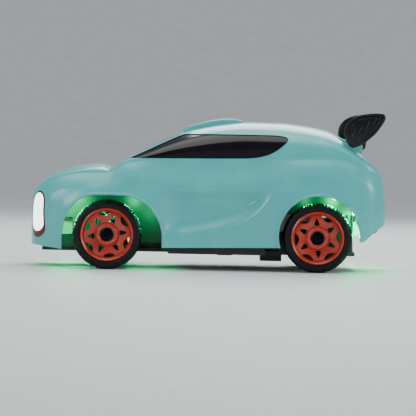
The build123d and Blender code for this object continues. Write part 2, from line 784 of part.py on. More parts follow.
with BuildPart() as front_deck:
    with BuildSketch(Plane.XY.offset(DECK_Z)):
        with Locations((0, FRONT_Y)):
            SlotCenterToCenter(2 * KINGPIN_X, 2 * ARM_RADIUS)
            RectangleRounded(2 * TOWER_X + 5, 14, 2)
        with Locations((-KINGPIN_X, FRONT_Y), (KINGPIN_X, FRONT_Y)):
            Circle(KINGPIN_RADIUS, mode=Mode.SUBTRACT)
        with Locations(*deck_screw_spots):
            Circle(0.7, mode=Mode.SUBTRACT)
    extrude(amount=DECK_THICKNESS)
save(front_deck.part, "front_deck")

with BuildPart() as deck_screws:
    for x, y in deck_screw_spots:
        with Locations((x, y, DECK_Z + DECK_THICKNESS)):
            Cylinder(1.6, 1.0, align=(Align.CENTER, Align.CENTER, Align.MIN))
            Cylinder(0.7, 1.4, align=(Align.CENTER, Align.CENTER, Align.MAX))
save(deck_screws.part, "deck_screws")

with BuildPart() as kingpins:
    for side in SIDES.values():
        with Locations((side * KINGPIN_X, FRONT_Y, CHASSIS_Z)):
            Cylinder(
                KINGPIN_RADIUS,
                DECK_Z + DECK_THICKNESS - CHASSIS_Z,
                align=(Align.CENTER, Align.CENTER, Align.MIN),
            )
        with Locations((side * KINGPIN_X, FRONT_Y, DECK_Z + DECK_THICKNESS)):
            Cylinder(2.0, 0.9, align=(Align.CENTER, Align.CENTER, Align.MIN))
save(kingpins.part, "kingpins")

with BuildPart() as front_bumper:
    with BuildSketch(Plane.XY.offset(SILL_Z + 4.5)):
        with Locations((0, nose(8.2))):
            RectangleRounded(46, 9.0, 3)
        with Locations((0, nose(14.6))):
            Rectangle(11, 8)
    extrude(amount=7.6)
save(front_bumper.part, "front_bumper")

# Boards with light-emitting diodes: behind the headlights, and above each axle.
LED = (3.0, 2.2, 1.0)
with BuildPart() as lamp_board:
    with Locations((0, nose(8.2), SILL_Z + 12.1)):
        Box(44, 6.0, 1.2, align=(Align.CENTER, Align.CENTER, Align.MIN))
    with Locations(*[(side * 19.0, nose(5.6), SILL_Z + 13.3) for side in (-1, 1)]):
        Box(4.0, 1.2, 6.0, align=(Align.CENTER, Align.CENTER, Align.MIN))
save(lamp_board.part, "headlight_board")
with BuildPart() as battery_pack:
    with BuildSketch(Plane.XY.offset(FLOOR_Z)):
        with Locations((0, BATTERY_Y)):
            RectangleRounded(BATTERY[0], BATTERY[1], 3.0)
    extrude(amount=BATTERY[2])
    fillet(battery_pack.faces().sort_by(Axis.Z)[-1].edges(), 1.2)
save(battery_pack.part, "battery_pack")

BOARD_Z = FLOOR_Z + BATTERY[2] + 1.0
with BuildPart() as control_board:
    with Locations((0, BATTERY_Y, BOARD_Z)):
        Box(*BOARD, align=(Align.CENTER, Align.CENTER, Align.MIN))
    with Locations((0, BATTERY_Y, FLOOR_Z + BATTERY[2])):
        Box(18, 20, 1.0, align=(Align.CENTER, Align.CENTER, Align.MIN))
    with Locations((0, BATTERY_Y - 6, BOARD_Z + BOARD[2])):
        Box(7, 7, 1.0, align=(Align.CENTER, Align.CENTER, Align.MIN))
    with Locations((-6, BATTERY_Y + 8, BOARD_Z + BOARD[2]), (6, BATTERY_Y + 8, BOARD_Z + BOARD[2])):
        Box(4, 5, 1.4, align=(Align.CENTER, Align.CENTER, Align.MIN))
save(control_board.part, "control_board")

# Power switch at the side of the tub: a housing with a sliding knob on top.
SWITCH = (6.0, 11.0, 4.0)
SWITCH_AT = (TUB_HALF_WIDTH - TUB_WALL - SWITCH[0] / 2 - 0.2, cabin(0.42))
SWITCH_THROW = 2.0
SLOT_DEPTH = 1.6
KNOB = (2.0, 3.0, 3.2)
with BuildPart() as switch_housing:
    with Locations((*SWITCH_AT, FLOOR_Z)):
        Box(*SWITCH, align=(Align.CENTER, Align.CENTER, Align.MIN))
    with Locations((*SWITCH_AT, FLOOR_Z + SWITCH[2] - SLOT_DEPTH)):
        Box(
            KNOB[0] + 0.6,
            KNOB[1] + SWITCH_THROW + 0.6,
            SLOT_DEPTH,
            align=(Align.CENTER, Align.CENTER, Align.MIN),
            mode=Mode.SUBTRACT,
        )
save(switch_housing.part, "switch_housing")
with BuildPart() as switch_knob:
    knob_at = (SWITCH_AT[0], SWITCH_AT[1] - SWITCH_THROW / 2, FLOOR_Z + SWITCH[2] - SLOT_DEPTH + 0.3)
    with Locations(knob_at):
        Box(*KNOB, align=(Align.CENTER, Align.CENTER, Align.MIN))
save(switch_knob.part, "switch_knob")

# ---------------------------------------------------------------- steering
ARM_Z = HUB_Z + 1.0
ROD_Z = HUB_Z + 3.8
ROD_THICKNESS = 2.0
rod_y = FRONT_Y + STEER_ARM
lock = math.radians(STEER_LOCK)
rod_travel = STEER_GAIN * STEER_ARM * lock
horn_lock = rod_travel / (HORN_GAIN * HORN_LENGTH)
pin_slot = PIN_RADIUS + PIN_PLAY
with BuildPart() as tie_rod:
    with BuildSketch(Plane.XY.offset(ROD_Z)):
        with Locations((0, rod_y)):
            Rectangle(2 * KINGPIN_X, TIE_ROD_DEPTH)
        for x, inward, outward in (
            (-KINGPIN_X, STEER_ARM * (1 - math.cos(lock)), 0),
            (KINGPIN_X, STEER_ARM * (1 - math.cos(lock)), 0),
            (0, 0, HORN_LENGTH * (1 - math.cos(horn_lock))),
        ):
            low = rod_y - inward - pin_slot
            high = rod_y + outward + pin_slot
            with Locations((x, (low + high) / 2)):
                Rectangle(2 * pin_slot + 2.4, high - low + 2.4)
                Rectangle(2 * pin_slot, high - low, mode=Mode.SUBTRACT)
    extrude(amount=ROD_THICKNESS)
save(tie_rod.part, "tie_rod")

HORN_Y = rod_y + HORN_LENGTH
SERVO = (13.0, 13.0)
SERVO_TOP = ROD_Z - 0.4
HORN_Z = ROD_Z + ROD_THICKNESS + 0.4
with BuildPart() as steering_servo:
    with BuildSketch(Plane.XY.offset(FLOOR_Z)):
        with Locations((0, HORN_Y + 4.2)):
            Rectangle(*SERVO)
    extrude(amount=SERVO_TOP - FLOOR_Z)
    with Locations((0, HORN_Y, SERVO_TOP)):
        Cylinder(2.4, HORN_Z - 0.3 - SERVO_TOP, align=(Align.CENTER, Align.CENTER, Align.MIN))
        Cylinder(1.0, HORN_Z + 1.6 - SERVO_TOP, align=(Align.CENTER, Align.CENTER, Align.MIN))
save(steering_servo.part, "steering_servo")
with BuildPart() as servo_horn:
    with BuildSketch(Plane.XY.offset(HORN_Z)):
        with Locations((0, HORN_Y)):
            Circle(2.6)
        with Locations((0, (HORN_Y + rod_y) / 2)):
            Rectangle(2.4, HORN_LENGTH)
        with Locations((0, rod_y)):
            Circle(1.4)
        with Locations((0, HORN_Y)):
            Circle(1.0 + KINGPIN_FIT, mode=Mode.SUBTRACT)
    extrude(amount=1.4)
    with Locations((0, rod_y, ROD_Z - 0.2)):
        Cylinder(
            PIN_RADIUS, HORN_Z - ROD_Z + 0.2, align=(Align.CENTER, Align.CENTER, Align.MIN)
        )
save(servo_horn.part, "servo_horn")

# ---------------------------------------------------------------- wheels
outer_face = WHEEL_X + TYRE_WIDTH / 2
hub_outer = outer_face - 0.6
screw_seat = hub_outer - 1.8
outer_bearing = screw_seat - 0.3 - BEARING_WIDTH
inner_bearing = WHEEL_X - TYRE_WIDTH / 2 + 1.0
web_outer = outer_face - WEB_RECESS
LENS_REACH = RIM_RADIUS - 1.75
LENS_DEPTH = 2.5
LENS_ANGLE = 23.0
TRIANGLE = (HUB_RADIUS + 0.75, HUB_RADIUS + 3.9)
TRIANGLE_ANGLE = 15.0


def ring(x_low, x_high, outer, inner, mode=Mode.ADD):
    """A collar round the X axis between two distances from the middle of the car."""
    with BuildSketch(Plane.YZ.offset(x_low)) as disc:
        Circle(outer)
        if inner:
            Circle(inner, mode=Mode.SUBTRACT)
    extrude(disc.sketch, amount=x_high - x_low, mode=mode)


def polar(radius, degrees):
    """A point given by radius and angle."""
    return radius * math.cos(math.radians(degrees)), radius * math.sin(math.radians(degrees))


def wheel_rim(bore, turn):
    """Dish wheel for the +X side with its axle on the X axis."""
    with BuildPart() as rim:
        flange = outer_face - FLANGE_WIDTH
        inner_edge = WHEEL_X - TYRE_WIDTH / 2
        ring(inner_edge, outer_face, BEAD_RADIUS, BEAD_RADIUS - 1.0)
        ring(flange, outer_face, RIM_RADIUS, BEAD_RADIUS - 1.0)
        ring(inner_edge, inner_edge + FLANGE_WIDTH, RIM_RADIUS, BEAD_RADIUS - 1.0)
        ring(web_outer - WEB_THICKNESS, web_outer, BEAD_RADIUS - 0.5, bore)
        ring(inner_edge + 0.5, hub_outer, HUB_RADIUS - 0.6, bore)
        ring(screw_seat, hub_outer, HUB_RADIUS, SCREW_HEAD_RADIUS + 0.4)
        with BuildSketch(Plane.YZ.offset(web_outer)):
            for k in range(SPOKE_PAIRS):
                at = turn + k * 360 / SPOKE_PAIRS
                with BuildLine():
                    Polyline(
                        polar(TRIANGLE[0], at - 2 * TRIANGLE_ANGLE / 1.15),
                        polar(TRIANGLE[1], at),
                        polar(TRIANGLE[0], at + 2 * TRIANGLE_ANGLE / 1.15),
                        close=True,
                    )
                make_face()
                half_way = at + 180 / SPOKE_PAIRS
                with BuildLine():
                    ThreePointArc(
                        polar(LENS_REACH, half_way - LENS_ANGLE),
                        polar(LENS_REACH, half_way),
                        polar(LENS_REACH, half_way + LENS_ANGLE),
                    )
                    ThreePointArc(
                        polar(LENS_REACH, half_way + LENS_ANGLE),
                        polar(LENS_REACH - LENS_DEPTH, half_way),
                        polar(LENS_REACH, half_way - LENS_ANGLE),
                    )
                make_face()
        extrude(amount=-WEB_THICKNESS, mode=Mode.SUBTRACT)
    return rim.part


TYRE_GROOVES = (-1.6, 1.6)
with BuildPart() as tyre:
    with BuildSketch(Plane.XZ):
        with BuildLine():
            low = WHEEL_X - TYRE_WIDTH / 2
            seat = BEAD_RADIUS + 0.05
            flank = RIM_RADIUS + 0.05
            step = FLANGE_WIDTH + 0.05
            Polyline(
                (low + step, seat),
                (outer_face - step, seat),
                (outer_face - step, flank),
                (outer_face, flank),
                (outer_face, TYRE_RADIUS - TYRE_SHOULDER),
                (outer_face - TYRE_SHOULDER * 0.35, TYRE_RADIUS - TYRE_SHOULDER * 0.35),
                (outer_face - TYRE_SHOULDER, TYRE_RADIUS),
                (low + TYRE_SHOULDER, TYRE_RADIUS),
                (low + TYRE_SHOULDER * 0.35, TYRE_RADIUS - TYRE_SHOULDER * 0.35),
                (low, TYRE_RADIUS - TYRE_SHOULDER),
                (low, flank),
                (low + step, flank),
                close=True,
            )
        make_face()
        with Locations(*[(WHEEL_X + x, TYRE_RADIUS) for x in TYRE_GROOVES]):
            Rectangle(0.8, 1.2, mode=Mode.SUBTRACT)
    revolve(axis=Axis.X)

with BuildPart() as screw:
    ring(screw_seat, screw_seat + SCREW_HEAD_HEIGHT, SCREW_HEAD_RADIUS, 0)
    ring(screw_seat - 5.0, screw_seat, SCREW_RADIUS, 0)
    with BuildSketch(Plane.YZ.offset(screw_seat + SCREW_HEAD_HEIGHT)):
        RegularPolygon(1.4, 6)
    extrude(amount=-0.9, mode=Mode.SUBTRACT)

with BuildPart() as bearings:
    for low in (inner_bearing, outer_bearing):
        ring(low, low + BEARING_WIDTH, BEARING_RADIUS, AXLE_RADIUS + AXLE_FIT)

front_rim = wheel_rim(BEARING_RADIUS, FRONT_WHEEL_TURN + 27.0)
with BuildPart() as rear_rim_maker:
    add(wheel_rim(AXLE_RADIUS, FRONT_WHEEL_TURN + 54.0))
    ring(screw_seat, hub_outer, SCREW_HEAD_RADIUS + 0.4, 0, mode=Mode.SUBTRACT)
rear_rim = rear_rim_maker.part

with BuildPart() as knuckle:
    with Locations((KINGPIN_X, 0, 0)):
        Cylinder(KNUCKLE_RADIUS, KNUCKLE_HEIGHT)
    ring(KINGPIN_X, screw_seat, AXLE_RADIUS, 0)
    with BuildSketch(Plane.XY.offset(ARM_Z - HUB_Z)):
        with Locations((KINGPIN_X, STEER_ARM / 2)):
            Rectangle(3.0, STEER_ARM)
        with Locations((KINGPIN_X, STEER_ARM)):
            Circle(1.5)
    extrude(amount=1.0)
    with Locations((KINGPIN_X, STEER_ARM, ARM_Z - HUB_Z + 1.0)):
        pin_height = ROD_Z + ROD_THICKNESS + DROOP_TRAVEL + 0.4 - ARM_Z - 1.0
        Cylinder(PIN_RADIUS, pin_height, align=(Align.CENTER, Align.CENTER, Align.MIN))
    with Locations((KINGPIN_X, 0, 0)):
        Cylinder(KINGPIN_RADIUS + KINGPIN_FIT, 20, mode=Mode.SUBTRACT)
    ring(screw_seat - 5.0, screw_seat, SCREW_RADIUS, 0, mode=Mode.SUBTRACT)

seat_z = HUB_Z + KNUCKLE_HEIGHT / 2 + 0.3
with BuildPart() as spring_seat:
    with Locations((KINGPIN_X, FRONT_Y, seat_z)):
        Cylinder(KNUCKLE_RADIUS, 0.9, align=(Align.CENTER, Align.CENTER, Align.MIN))
        Cylinder(
            KINGPIN_RADIUS + KINGPIN_FIT,
            0.9,
            align=(Align.CENTER, Align.CENTER, Align.MIN),
            mode=Mode.SUBTRACT,
        )

SPRING_TURNS = 4
coil_height = SPRING_LENGTH - SPRING_WIRE - 0.02
with BuildPart() as spring:
    with BuildLine():
        helix = Helix(
            coil_height / SPRING_TURNS,
            coil_height,
            KNUCKLE_RADIUS - 0.7,
            center=(0, 0, seat_z + 0.9 + SPRING_WIRE / 2 + 0.01),
        )
    with BuildSketch(Plane(origin=helix @ 0, z_dir=helix % 0)):
        Circle(SPRING_WIRE / 2)
    sweep(is_frenet=True)

front_at = Location((0, FRONT_Y, HUB_Z))
rear_at = Location((0, REAR_Y, HUB_Z))
for side_name, side in SIDES.items():
    for piece, name, at in (
        (knuckle.part, "knuckle", front_at),
        (screw.part, "front_screw", front_at),
        (bearings.part, "front_bearings", front_at),
        (front_rim, "front_rim", front_at),
        (tyre.part, "front_tyre", front_at),
        (rear_rim, "rear_rim", rear_at),
        (tyre.part, "rear_tyre", rear_at),
        (spring_seat.part, "spring_seat", Location()),
    ):
        placed = at * piece
        save(placed if side > 0 else mirror(placed, about=Plane.YZ), f"{name}_{side_name}")
    save(Location((side * KINGPIN_X, FRONT_Y, 0)) * spring.part, f"front_spring_{side_name}")
rear_screw = rear_at * screw.part
with BuildPart() as rear_screws:
    add(rear_screw)
    mirror(rear_screw, about=Plane.YZ)
save(rear_screws.part, "rear_screws")

# ---------------------------------------------------------------- rear drive
BULKHEAD = 2.5
spur_pitch = MODULE * SPUR_TEETH / 2
pinion_pitch = MODULE * PINION_TEETH / 2
centre_distance = spur_pitch + pinion_pitch + BACKLASH
motor_back = -math.sqrt(centre_distance**2 - MOTOR_RISE**2)
motor_at = (REAR_Y + motor_back, HUB_Z + MOTOR_RISE)
motor_tilt = math.degrees(math.atan2(MOTOR_RISE, motor_back))
with BuildPart() as motor_mount:
    for side in SIDES.values():
        with BuildSketch(Plane.YZ.offset(side * BULKHEAD_X)):
            with BuildLine():
                Polyline(
                    (motor_at[0] - 8, FLOOR_Z),
                    (REAR_Y + 17, FLOOR_Z),
                    (REAR_Y + 17, REAR_POST_TOP - 20),
                    (REAR_Y + 13, REAR_POST_TOP - 20),
                    (REAR_Y + 6, HUB_Z + 7),
                    (motor_at[0] - 4, HUB_Z + 7),
                    close=True,
                )
            make_face()
            with Locations((REAR_Y, HUB_Z)):
                Circle(BEARING_RADIUS, mode=Mode.SUBTRACT)
        extrude(amount=side * BULKHEAD)
    with BuildSketch(Plane.XY.offset(FLOOR_Z)):
        with Locations((0, REAR_Y + 14.5)):
            Rectangle(2 * BULKHEAD_X, 5)
    extrude(amount=4)
    with BuildSketch(Plane.XY.offset(FLOOR_Z + 2)):
        with Locations(*[(x, y) for x, y, _ in posts[2:]]):
            Circle(POST_RADIUS)
    extrude(amount=REAR_POST_TOP - FLOOR_Z - 2)
    # motor saddle: a plate across each end of the can, tied to the bulkheads by a bar
    with BuildSketch(Plane.XY.offset(FLOOR_Z)):
        with Locations((0, motor_at[0] - 7.2)):
            Rectangle(2 * BULKHEAD_X, 1.8)
    extrude(amount=2)
    for x in (-MOTOR_LENGTH / 2 - 1.2, MOTOR_LENGTH / 2):
        with BuildSketch(Plane.YZ.offset(x)):
            with Locations((motor_at[0], FLOOR_Z)):
                Rectangle(15, 9, align=(Align.CENTER, Align.MIN))
            with Locations(motor_at):
                Circle(2.6, mode=Mode.SUBTRACT)
            with Locations((REAR_Y, HUB_Z)):
                Circle(AXLE_RADIUS + 0.6, mode=Mode.SUBTRACT)
        extrude(amount=1.2)
save(motor_mount.part, "motor_mount")

SHAFT_RADIUS = 1.0
with BuildPart() as motor:
    with BuildSketch(Plane.YZ.offset(-MOTOR_LENGTH / 2)):
        with Locations((Location((motor_at[0], motor_at[1], 0), (0, 0, motor_tilt)))):
            Circle(MOTOR_RADIUS)
            Rectangle(2 * MOTOR_FLAT, 2 * MOTOR_RADIUS, mode=Mode.INTERSECT)
    extrude(amount=MOTOR_LENGTH)
    with BuildSketch(Plane.YZ.offset(-MOTOR_LENGTH / 2 - 1.2)):
        with Locations(motor_at):
            Circle(2.5)
    extrude(amount=1.2)
save(motor.part, "motor_can")


def gear(teeth, bore, turn):
    """A spur gear with straight-flanked teeth at the origin, its first tooth at the given angle."""
    pitch = MODULE * teeth / 2
    tip = pitch + MODULE * 0.9
    root = pitch - MODULE * 1.15
    half_pitch_tooth = 90 / teeth
    lean = math.degrees(MODULE * math.tan(math.radians(PRESSURE_ANGLE)) / pitch)
    points = []
    for k in range(teeth):
        at = turn + k * 360 / teeth
        points += [
            polar(root, at - half_pitch_tooth - 1.15 * lean),
            polar(tip, at - half_pitch_tooth + 0.9 * lean),
            polar(tip, at + half_pitch_tooth - 0.9 * lean),
            polar(root, at + half_pitch_tooth + 1.15 * lean),
        ]
    with BuildPart() as wheel:
        with BuildSketch(Plane.YZ):
            with BuildLine():
                Polyline(*points, close=True)
            make_face()
            if bore:
                Circle(bore, mode=Mode.SUBTRACT)
        extrude(amount=GEAR_WIDTH)
    return wheel.part


mesh_angle = math.degrees(math.atan2(MOTOR_RISE, motor_back))
gear_low = GEAR_X - GEAR_WIDTH / 2
spur = gear(SPUR_TEETH, AXLE_RADIUS, mesh_angle)
save(Location((gear_low, REAR_Y, HUB_Z)) * spur, "spur_gear")
pinion_turn = mesh_angle + 180 + 180 / PINION_TEETH
with BuildPart() as motor_pinion:
    add(Location((gear_low, *motor_at)) * gear(PINION_TEETH, 0, pinion_turn))
    with BuildSketch(Plane.YZ.offset(MOTOR_LENGTH / 2 + 0.3)):
        with Locations(motor_at):
            Circle(SHAFT_RADIUS)
    extrude(amount=GEAR_X + GEAR_WIDTH / 2 + 0.4 - MOTOR_LENGTH / 2 - 0.3)
save(motor_pinion.part, "motor_pinion")

with BuildPart() as rear_axle:
    with BuildSketch(Plane.YZ.offset(-screw_seat)):
        with Locations((REAR_Y, HUB_Z)):
            Circle(AXLE_RADIUS)
    extrude(amount=2 * screw_seat)
    for end in (-1, 1):
        with BuildSketch(Plane.YZ.offset(end * screw_seat)):
            with Locations((REAR_Y, HUB_Z)):
                Circle(SCREW_RADIUS)
        extrude(amount=-end * 5.0, mode=Mode.SUBTRACT)
save(rear_axle.part, "rear_axle")
with BuildPart() as rear_bearings:
    for side in SIDES.values():
        with BuildSketch(Plane.YZ.offset(side * BULKHEAD_X)):
            with Locations((REAR_Y, HUB_Z)):
                Circle(BEARING_RADIUS)
                Circle(AXLE_RADIUS + AXLE_FIT, mode=Mode.SUBTRACT)
        extrude(amount=side * BULKHEAD)
save(rear_bearings.part, "rear_bearings")
# Boards that light the arches, one on the front deck and one behind the rear axle.
with BuildPart() as glow_boards:
    for at, size, led_spots in (
        ((0, FRONT_Y, DECK_Z + DECK_THICKNESS), (16, 7.0, 1.0), [(x, y) for x in (-6, 6) for y in (-2, 2)]),
        ((0, REAR_Y + 14.5, FLOOR_Z + 4), (30, 4.0, 1.0), [(-12, 0), (12, 0)]),
    ):
        with Locations(at):
            Box(*size, align=(Align.CENTER, Align.CENTER, Align.MIN))
        with Locations(*[(at[0] + x, at[1] + y, at[2] + size[2]) for x, y in led_spots]):
            Box(*LED, align=(Align.CENTER, Align.CENTER, Align.MIN))
save(glow_boards.part, "glow_boards")
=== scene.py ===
import math

import bpy
from mathutils import Matrix, Vector


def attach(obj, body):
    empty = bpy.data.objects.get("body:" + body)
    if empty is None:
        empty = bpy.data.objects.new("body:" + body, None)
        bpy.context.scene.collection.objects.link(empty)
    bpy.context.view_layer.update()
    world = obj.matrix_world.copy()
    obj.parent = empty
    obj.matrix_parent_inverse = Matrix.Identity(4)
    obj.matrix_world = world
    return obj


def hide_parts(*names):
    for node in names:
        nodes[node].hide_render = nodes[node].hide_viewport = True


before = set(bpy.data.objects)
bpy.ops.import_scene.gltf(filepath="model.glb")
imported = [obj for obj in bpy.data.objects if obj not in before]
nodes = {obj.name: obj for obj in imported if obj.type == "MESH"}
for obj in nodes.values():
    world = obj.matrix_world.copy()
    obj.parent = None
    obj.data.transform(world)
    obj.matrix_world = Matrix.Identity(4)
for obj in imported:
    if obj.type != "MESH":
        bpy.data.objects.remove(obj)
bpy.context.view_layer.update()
bpy.ops.object.select_all(action="DESELECT")

# ---------------------------------------------------------------- the car's own sizes, in millimetres
MM = 0.001
WHEELBASE = 98.0
NOSE_Y = -83.0
TAIL_Y = 83.0
FRONT_Y = -47.2
REAR_Y = 50.8
HALF_WIDTH = 38.0
ROOF_Z = 69.6
BONNET_Z = 48.2
BELT_Z = 51.8
SILL_Z = 10.5
SKIRT_Z = 8.0
HUB_Z = 16.2
WALL = 1.2
TYRE_RADIUS = 16.2
RIM_RADIUS = 12.5
OUTER_FACE = 35.5
SIDES = {"left": 1, "right": -1}


def nose(distance):
    return NOSE_Y + distance


def cabin(share):
    return FRONT_Y + share * WHEELBASE


def tail(distance):
    return TAIL_Y - distance


def curve(points):
    """A smooth function through the points that never overshoots them."""
    xs, ys = zip(*points)
    last = len(xs) - 1
    steps = [xs[i + 1] - xs[i] for i in range(last)]
    rises = [(ys[i + 1] - ys[i]) / steps[i] for i in range(last)]
    slopes = [rises[0]]
    for i in range(1, last):
        before, after = rises[i - 1], rises[i]
        if before * after <= 0:
            slopes.append(0.0)
        else:
            a, b = 2 * steps[i] + steps[i - 1], steps[i] + 2 * steps[i - 1]
            slopes.append((a + b) / (a / before + b / after))
    slopes.append(rises[-1])

    def value(x):
        x = min(max(x, xs[0]), xs[-1])
        i = 0
        while i < last - 1 and x > xs[i + 1]:
            i += 1
        t = (x - xs[i]) / steps[i]
        start = ys[i] + t * t * (3 - 2 * t) * (ys[i + 1] - ys[i])
        return start + steps[i] * t * (1 - t) * ((1 - t) * slopes[i] - t * slopes[i + 1])

    return value


def smooth(low, high, x):
    t = min(max((x - low) / (high - low), 0.0), 1.0)
    return t * t * (3 - 2 * t)


def ball(x, middle, reach):
    return math.exp(-(((x - middle) / reach) ** 2))


# ---------------------------------------------------------------- materials
def linear(hex_code):
    """An sRGB hex colour as linear RGBA."""
    values = [int(hex_code[i : i + 2], 16) / 255 for i in (0, 2, 4)]
    return (*[v / 12.92 if v <= 0.04045 else ((v + 0.055) / 1.055) ** 2.4 for v in values], 1.0)


def add_node(material, kind, links=None, **settings):
    """Adds a node, gives it its settings by socket or attribute name, and links its inputs."""
    tree = material.node_tree
    node = tree.nodes.new(kind)
    for key, value in settings.items():
        if key in node.inputs:
            node.inputs[key].default_value = value
        else:
            setattr(node, key, value)
    for key, source in (links or {}).items():
        tree.links.new(source, node.inputs[key])
    return node


def new_material(name, **surface):
    """A Principled material with these values on its own sockets."""
    material = bpy.data.materials.new(name)
    material.use_nodes = True
    shader = material.node_tree.nodes["Principled BSDF"]
    for key, value in surface.items():
        shader.inputs[key.replace("_", " ")].default_value = value
    return material, shader


def grained(name, dark, light, grain_mm, bump, spread=0.25, **surface):
    """Moulded or cut surface: slow colour drift between two tones and a fine grain in the bump."""
    material, shader = new_material(name, **surface)
    place = add_node(material, "ShaderNodeTexCoord").outputs["Object"]
    drift = add_node(material, "ShaderNodeTexNoise", {"Vector": place}, Scale=1 / (14 * MM), Detail=3.0)
    ramp = add_node(material, "ShaderNodeValToRGB", {"Fac": drift.outputs["Fac"]})
    ramp.color_ramp.elements[0].position = 0.5 - spread
    ramp.color_ramp.elements[1].position = 0.5 + spread
    ramp.color_ramp.elements[0].color = linear(dark)
    ramp.color_ramp.elements[1].color = linear(light)
    grain = add_node(material, "ShaderNodeTexNoise", {"Vector": place}, Scale=1 / (grain_mm * MM), Detail=4.0)
    height = add_node(
        material, "ShaderNodeBump", {"Height": grain.outputs["Fac"]}, Strength=bump, Distance=0.05 * MM
    )
    material.node_tree.links.new(ramp.outputs["Color"], shader.inputs["Base Color"])
    material.node_tree.links.new(height.outputs["Normal"], shader.inputs["Normal"])
    return material


# Shell: injection-moulded ABS from a polished tool, so the gloss is even with a faint orange-peel ripple.
mint_abs = grained(
    "moulded mint ABS", "45AEB2", "52BBB9", 1.6, 0.10, Roughness=0.3, IOR=1.53, Coat_Weight=0.35,
    Coat_Roughness=0.12, Subsurface_Weight=0.04, Subsurface_Scale=0.002,
)
# Windows: the same ABS printed gloss black, which shows as a mirror-like dark band.
black_print = grained(
    "printed gloss black ABS", "07060B", "0D0B12", 2.2, 0.05, Specular_IOR_Level=0.3, Roughness=0.14,
    IOR=1.5, Coat_Weight=0.15, Coat_Roughness=0.05,
)
# Wing: glossy black ABS with fine scuffs.
black_abs = grained(
    "moulded black ABS", "040406", "09090C", 0.8, 0.25, Specular_IOR_Level=0.35, Roughness=0.25, IOR=1.53,
)
# Trim: spark-textured black ABS, dull. The wheel-well liners use it too, and there its black is painted shade
# for the dark inside of the wells.
black_trim_and_well_shade = grained("black trim ABS and painted well shade", "0C0C0F", "16161A", 0.35, 0.6, Roughness=0.6, IOR=1.53)
# Chassis: glass-filled nylon, dull with a fine fibrous grain.
filled_nylon = grained("glass-filled black nylon", "101114", "1C1D21", 0.4, 0.55, Roughness=0.5, IOR=1.53)
# Wheels: orange-red moulded nylon with a satin gloss.
orange_nylon = grained(
    "moulded orange nylon", "961A00", "BA2A04", 0.9, 0.15, Roughness=0.28, IOR=1.53, Coat_Weight=0.4,
    Coat_Roughness=0.1, Subsurface_Weight=0.05, Subsurface_Scale=0.001,
)
# Tyres: moulded rubber, dark and dusty on the tread.
tyre_rubber = grained(
    "moulded tyre rubber", "050607", "0D0E10", 0.3, 0.5, Specular_IOR_Level=0.25, Roughness=0.5, IOR=1.5
)
# Lamp ring: moulded ABS, red-brown with a satin shine.
bezel_abs = grained("red-brown ABS bezel", "4A1C10", "6B2C19", 1.2, 0.15, Roughness=0.25, IOR=1.53)
# Tail lamps: clear-moulded acrylic over a dark back, deep red with a sharp shine.
red_lens = grained(
    "red moulded acrylic", "5C0302", "760705", 1.0, 0.1, Roughness=0.08, IOR=1.49, Coat_Weight=0.3
)
# Bumper: moulded foam, matt white with a fine cell grain.
foam = grained("closed-cell white foam", "C3CCC4", "DDE3DB", 0.5, 0.9, Roughness=0.8, IOR=1.4)
# Battery: shrunk film, a glossy blue that drifts a little in tone.
battery_wrap = grained("blue shrink film", "1E3A74", "2F5596", 1.5, 0.2, Roughness=0.28, IOR=1.5)
# Boards: green solder mask, a satin skin a little uneven in tone.
board = grained("solder-masked circuit board", "0E4A2A", "18663B", 0.6, 0.35, Roughness=0.35, IOR=1.5)
# Servo and switch cases: spark-textured ABS, an even dark grey.
servo_case = grained("moulded servo case ABS", "17181B", "232529", 0.45, 0.5, Roughness=0.45, IOR=1.53)
# Gear and horn: unpainted acetal, off-white with a soft shine.
white_acetal = grained("moulded white acetal", "CFCDC2", "E4E2D8", 0.8, 0.2, Roughness=0.38, IOR=1.48)
# Steering pieces: black acetal, which shines a little where it was moulded smooth.
black_acetal = grained("moulded black acetal", "131316", "1F1F23", 0.7, 0.3, Roughness=0.4, IOR=1.48)
# Switch knob: smooth white ABS.
switch_abs = grained("moulded white ABS", "D5D5D0", "EDEDE8", 0.6, 0.2, Roughness=0.4, IOR=1.53)


def metal(name, dark, light, line_mm, axis, roughness):
    """Turned or drawn metal with fine lines across the given axis."""
    material, shader = new_material(name, Metallic=1.0, Roughness=roughness)
    place = add_node(material, "ShaderNodeTexCoord").outputs["Object"]
    stretch = [0.08, 0.08, 0.08]
    stretch["XYZ".index(axis)] = 1.0
    squeezed = add_node(material, "ShaderNodeMapping", {"Vector": place}, Scale=stretch)
    lines = add_node(
        material,
        "ShaderNodeTexNoise",
        {"Vector": squeezed.outputs["Vector"]},
        Scale=1 / (line_mm * MM),
        Detail=5.0,
    )
    ramp = add_node(material, "ShaderNodeValToRGB", {"Fac": lines.outputs["Fac"]})
    ramp.color_ramp.elements[0].color = linear(dark)
    ramp.color_ramp.elements[1].color = linear(light)
    height = add_node(
        material, "ShaderNodeBump", {"Height": lines.outputs["Fac"]}, Strength=0.3, Distance=0.03 * MM
    )
    material.node_tree.links.new(ramp.outputs["Color"], shader.inputs["Base Color"])
    material.node_tree.links.new(height.outputs["Normal"], shader.inputs["Normal"])
    return material


# Axle, bearings and pinion: steel turned on a lathe, bright with rings round the axle.
turned_steel = metal("turned bright steel", "8F9296", "C9CBCE", 0.25, "X", 0.28)
# Motor can: drawn sheet steel, greyer, with broader lines.
drawn_steel = metal("drawn motor-can steel", "8A8C90", "BFC1C4", 0.4, "X", 0.32)
# Kingpins and springs: ground pins and wire, bright and finely lined.
ground_steel = metal("ground pin steel", "94969A", "CFD1D4", 0.2, "Z", 0.22)
# Screws: blackened steel, nearly black with a bright edge.
black_screw = metal("blackened screw steel", "0A0A0D", "1E1E22", 0.3, "X", 0.24)
# Magnets: nickel plate, almost a mirror.
magnet = metal("nickel-plated magnet", "A6A8AC", "D6D8DB", 0.5, "Z", 0.16)


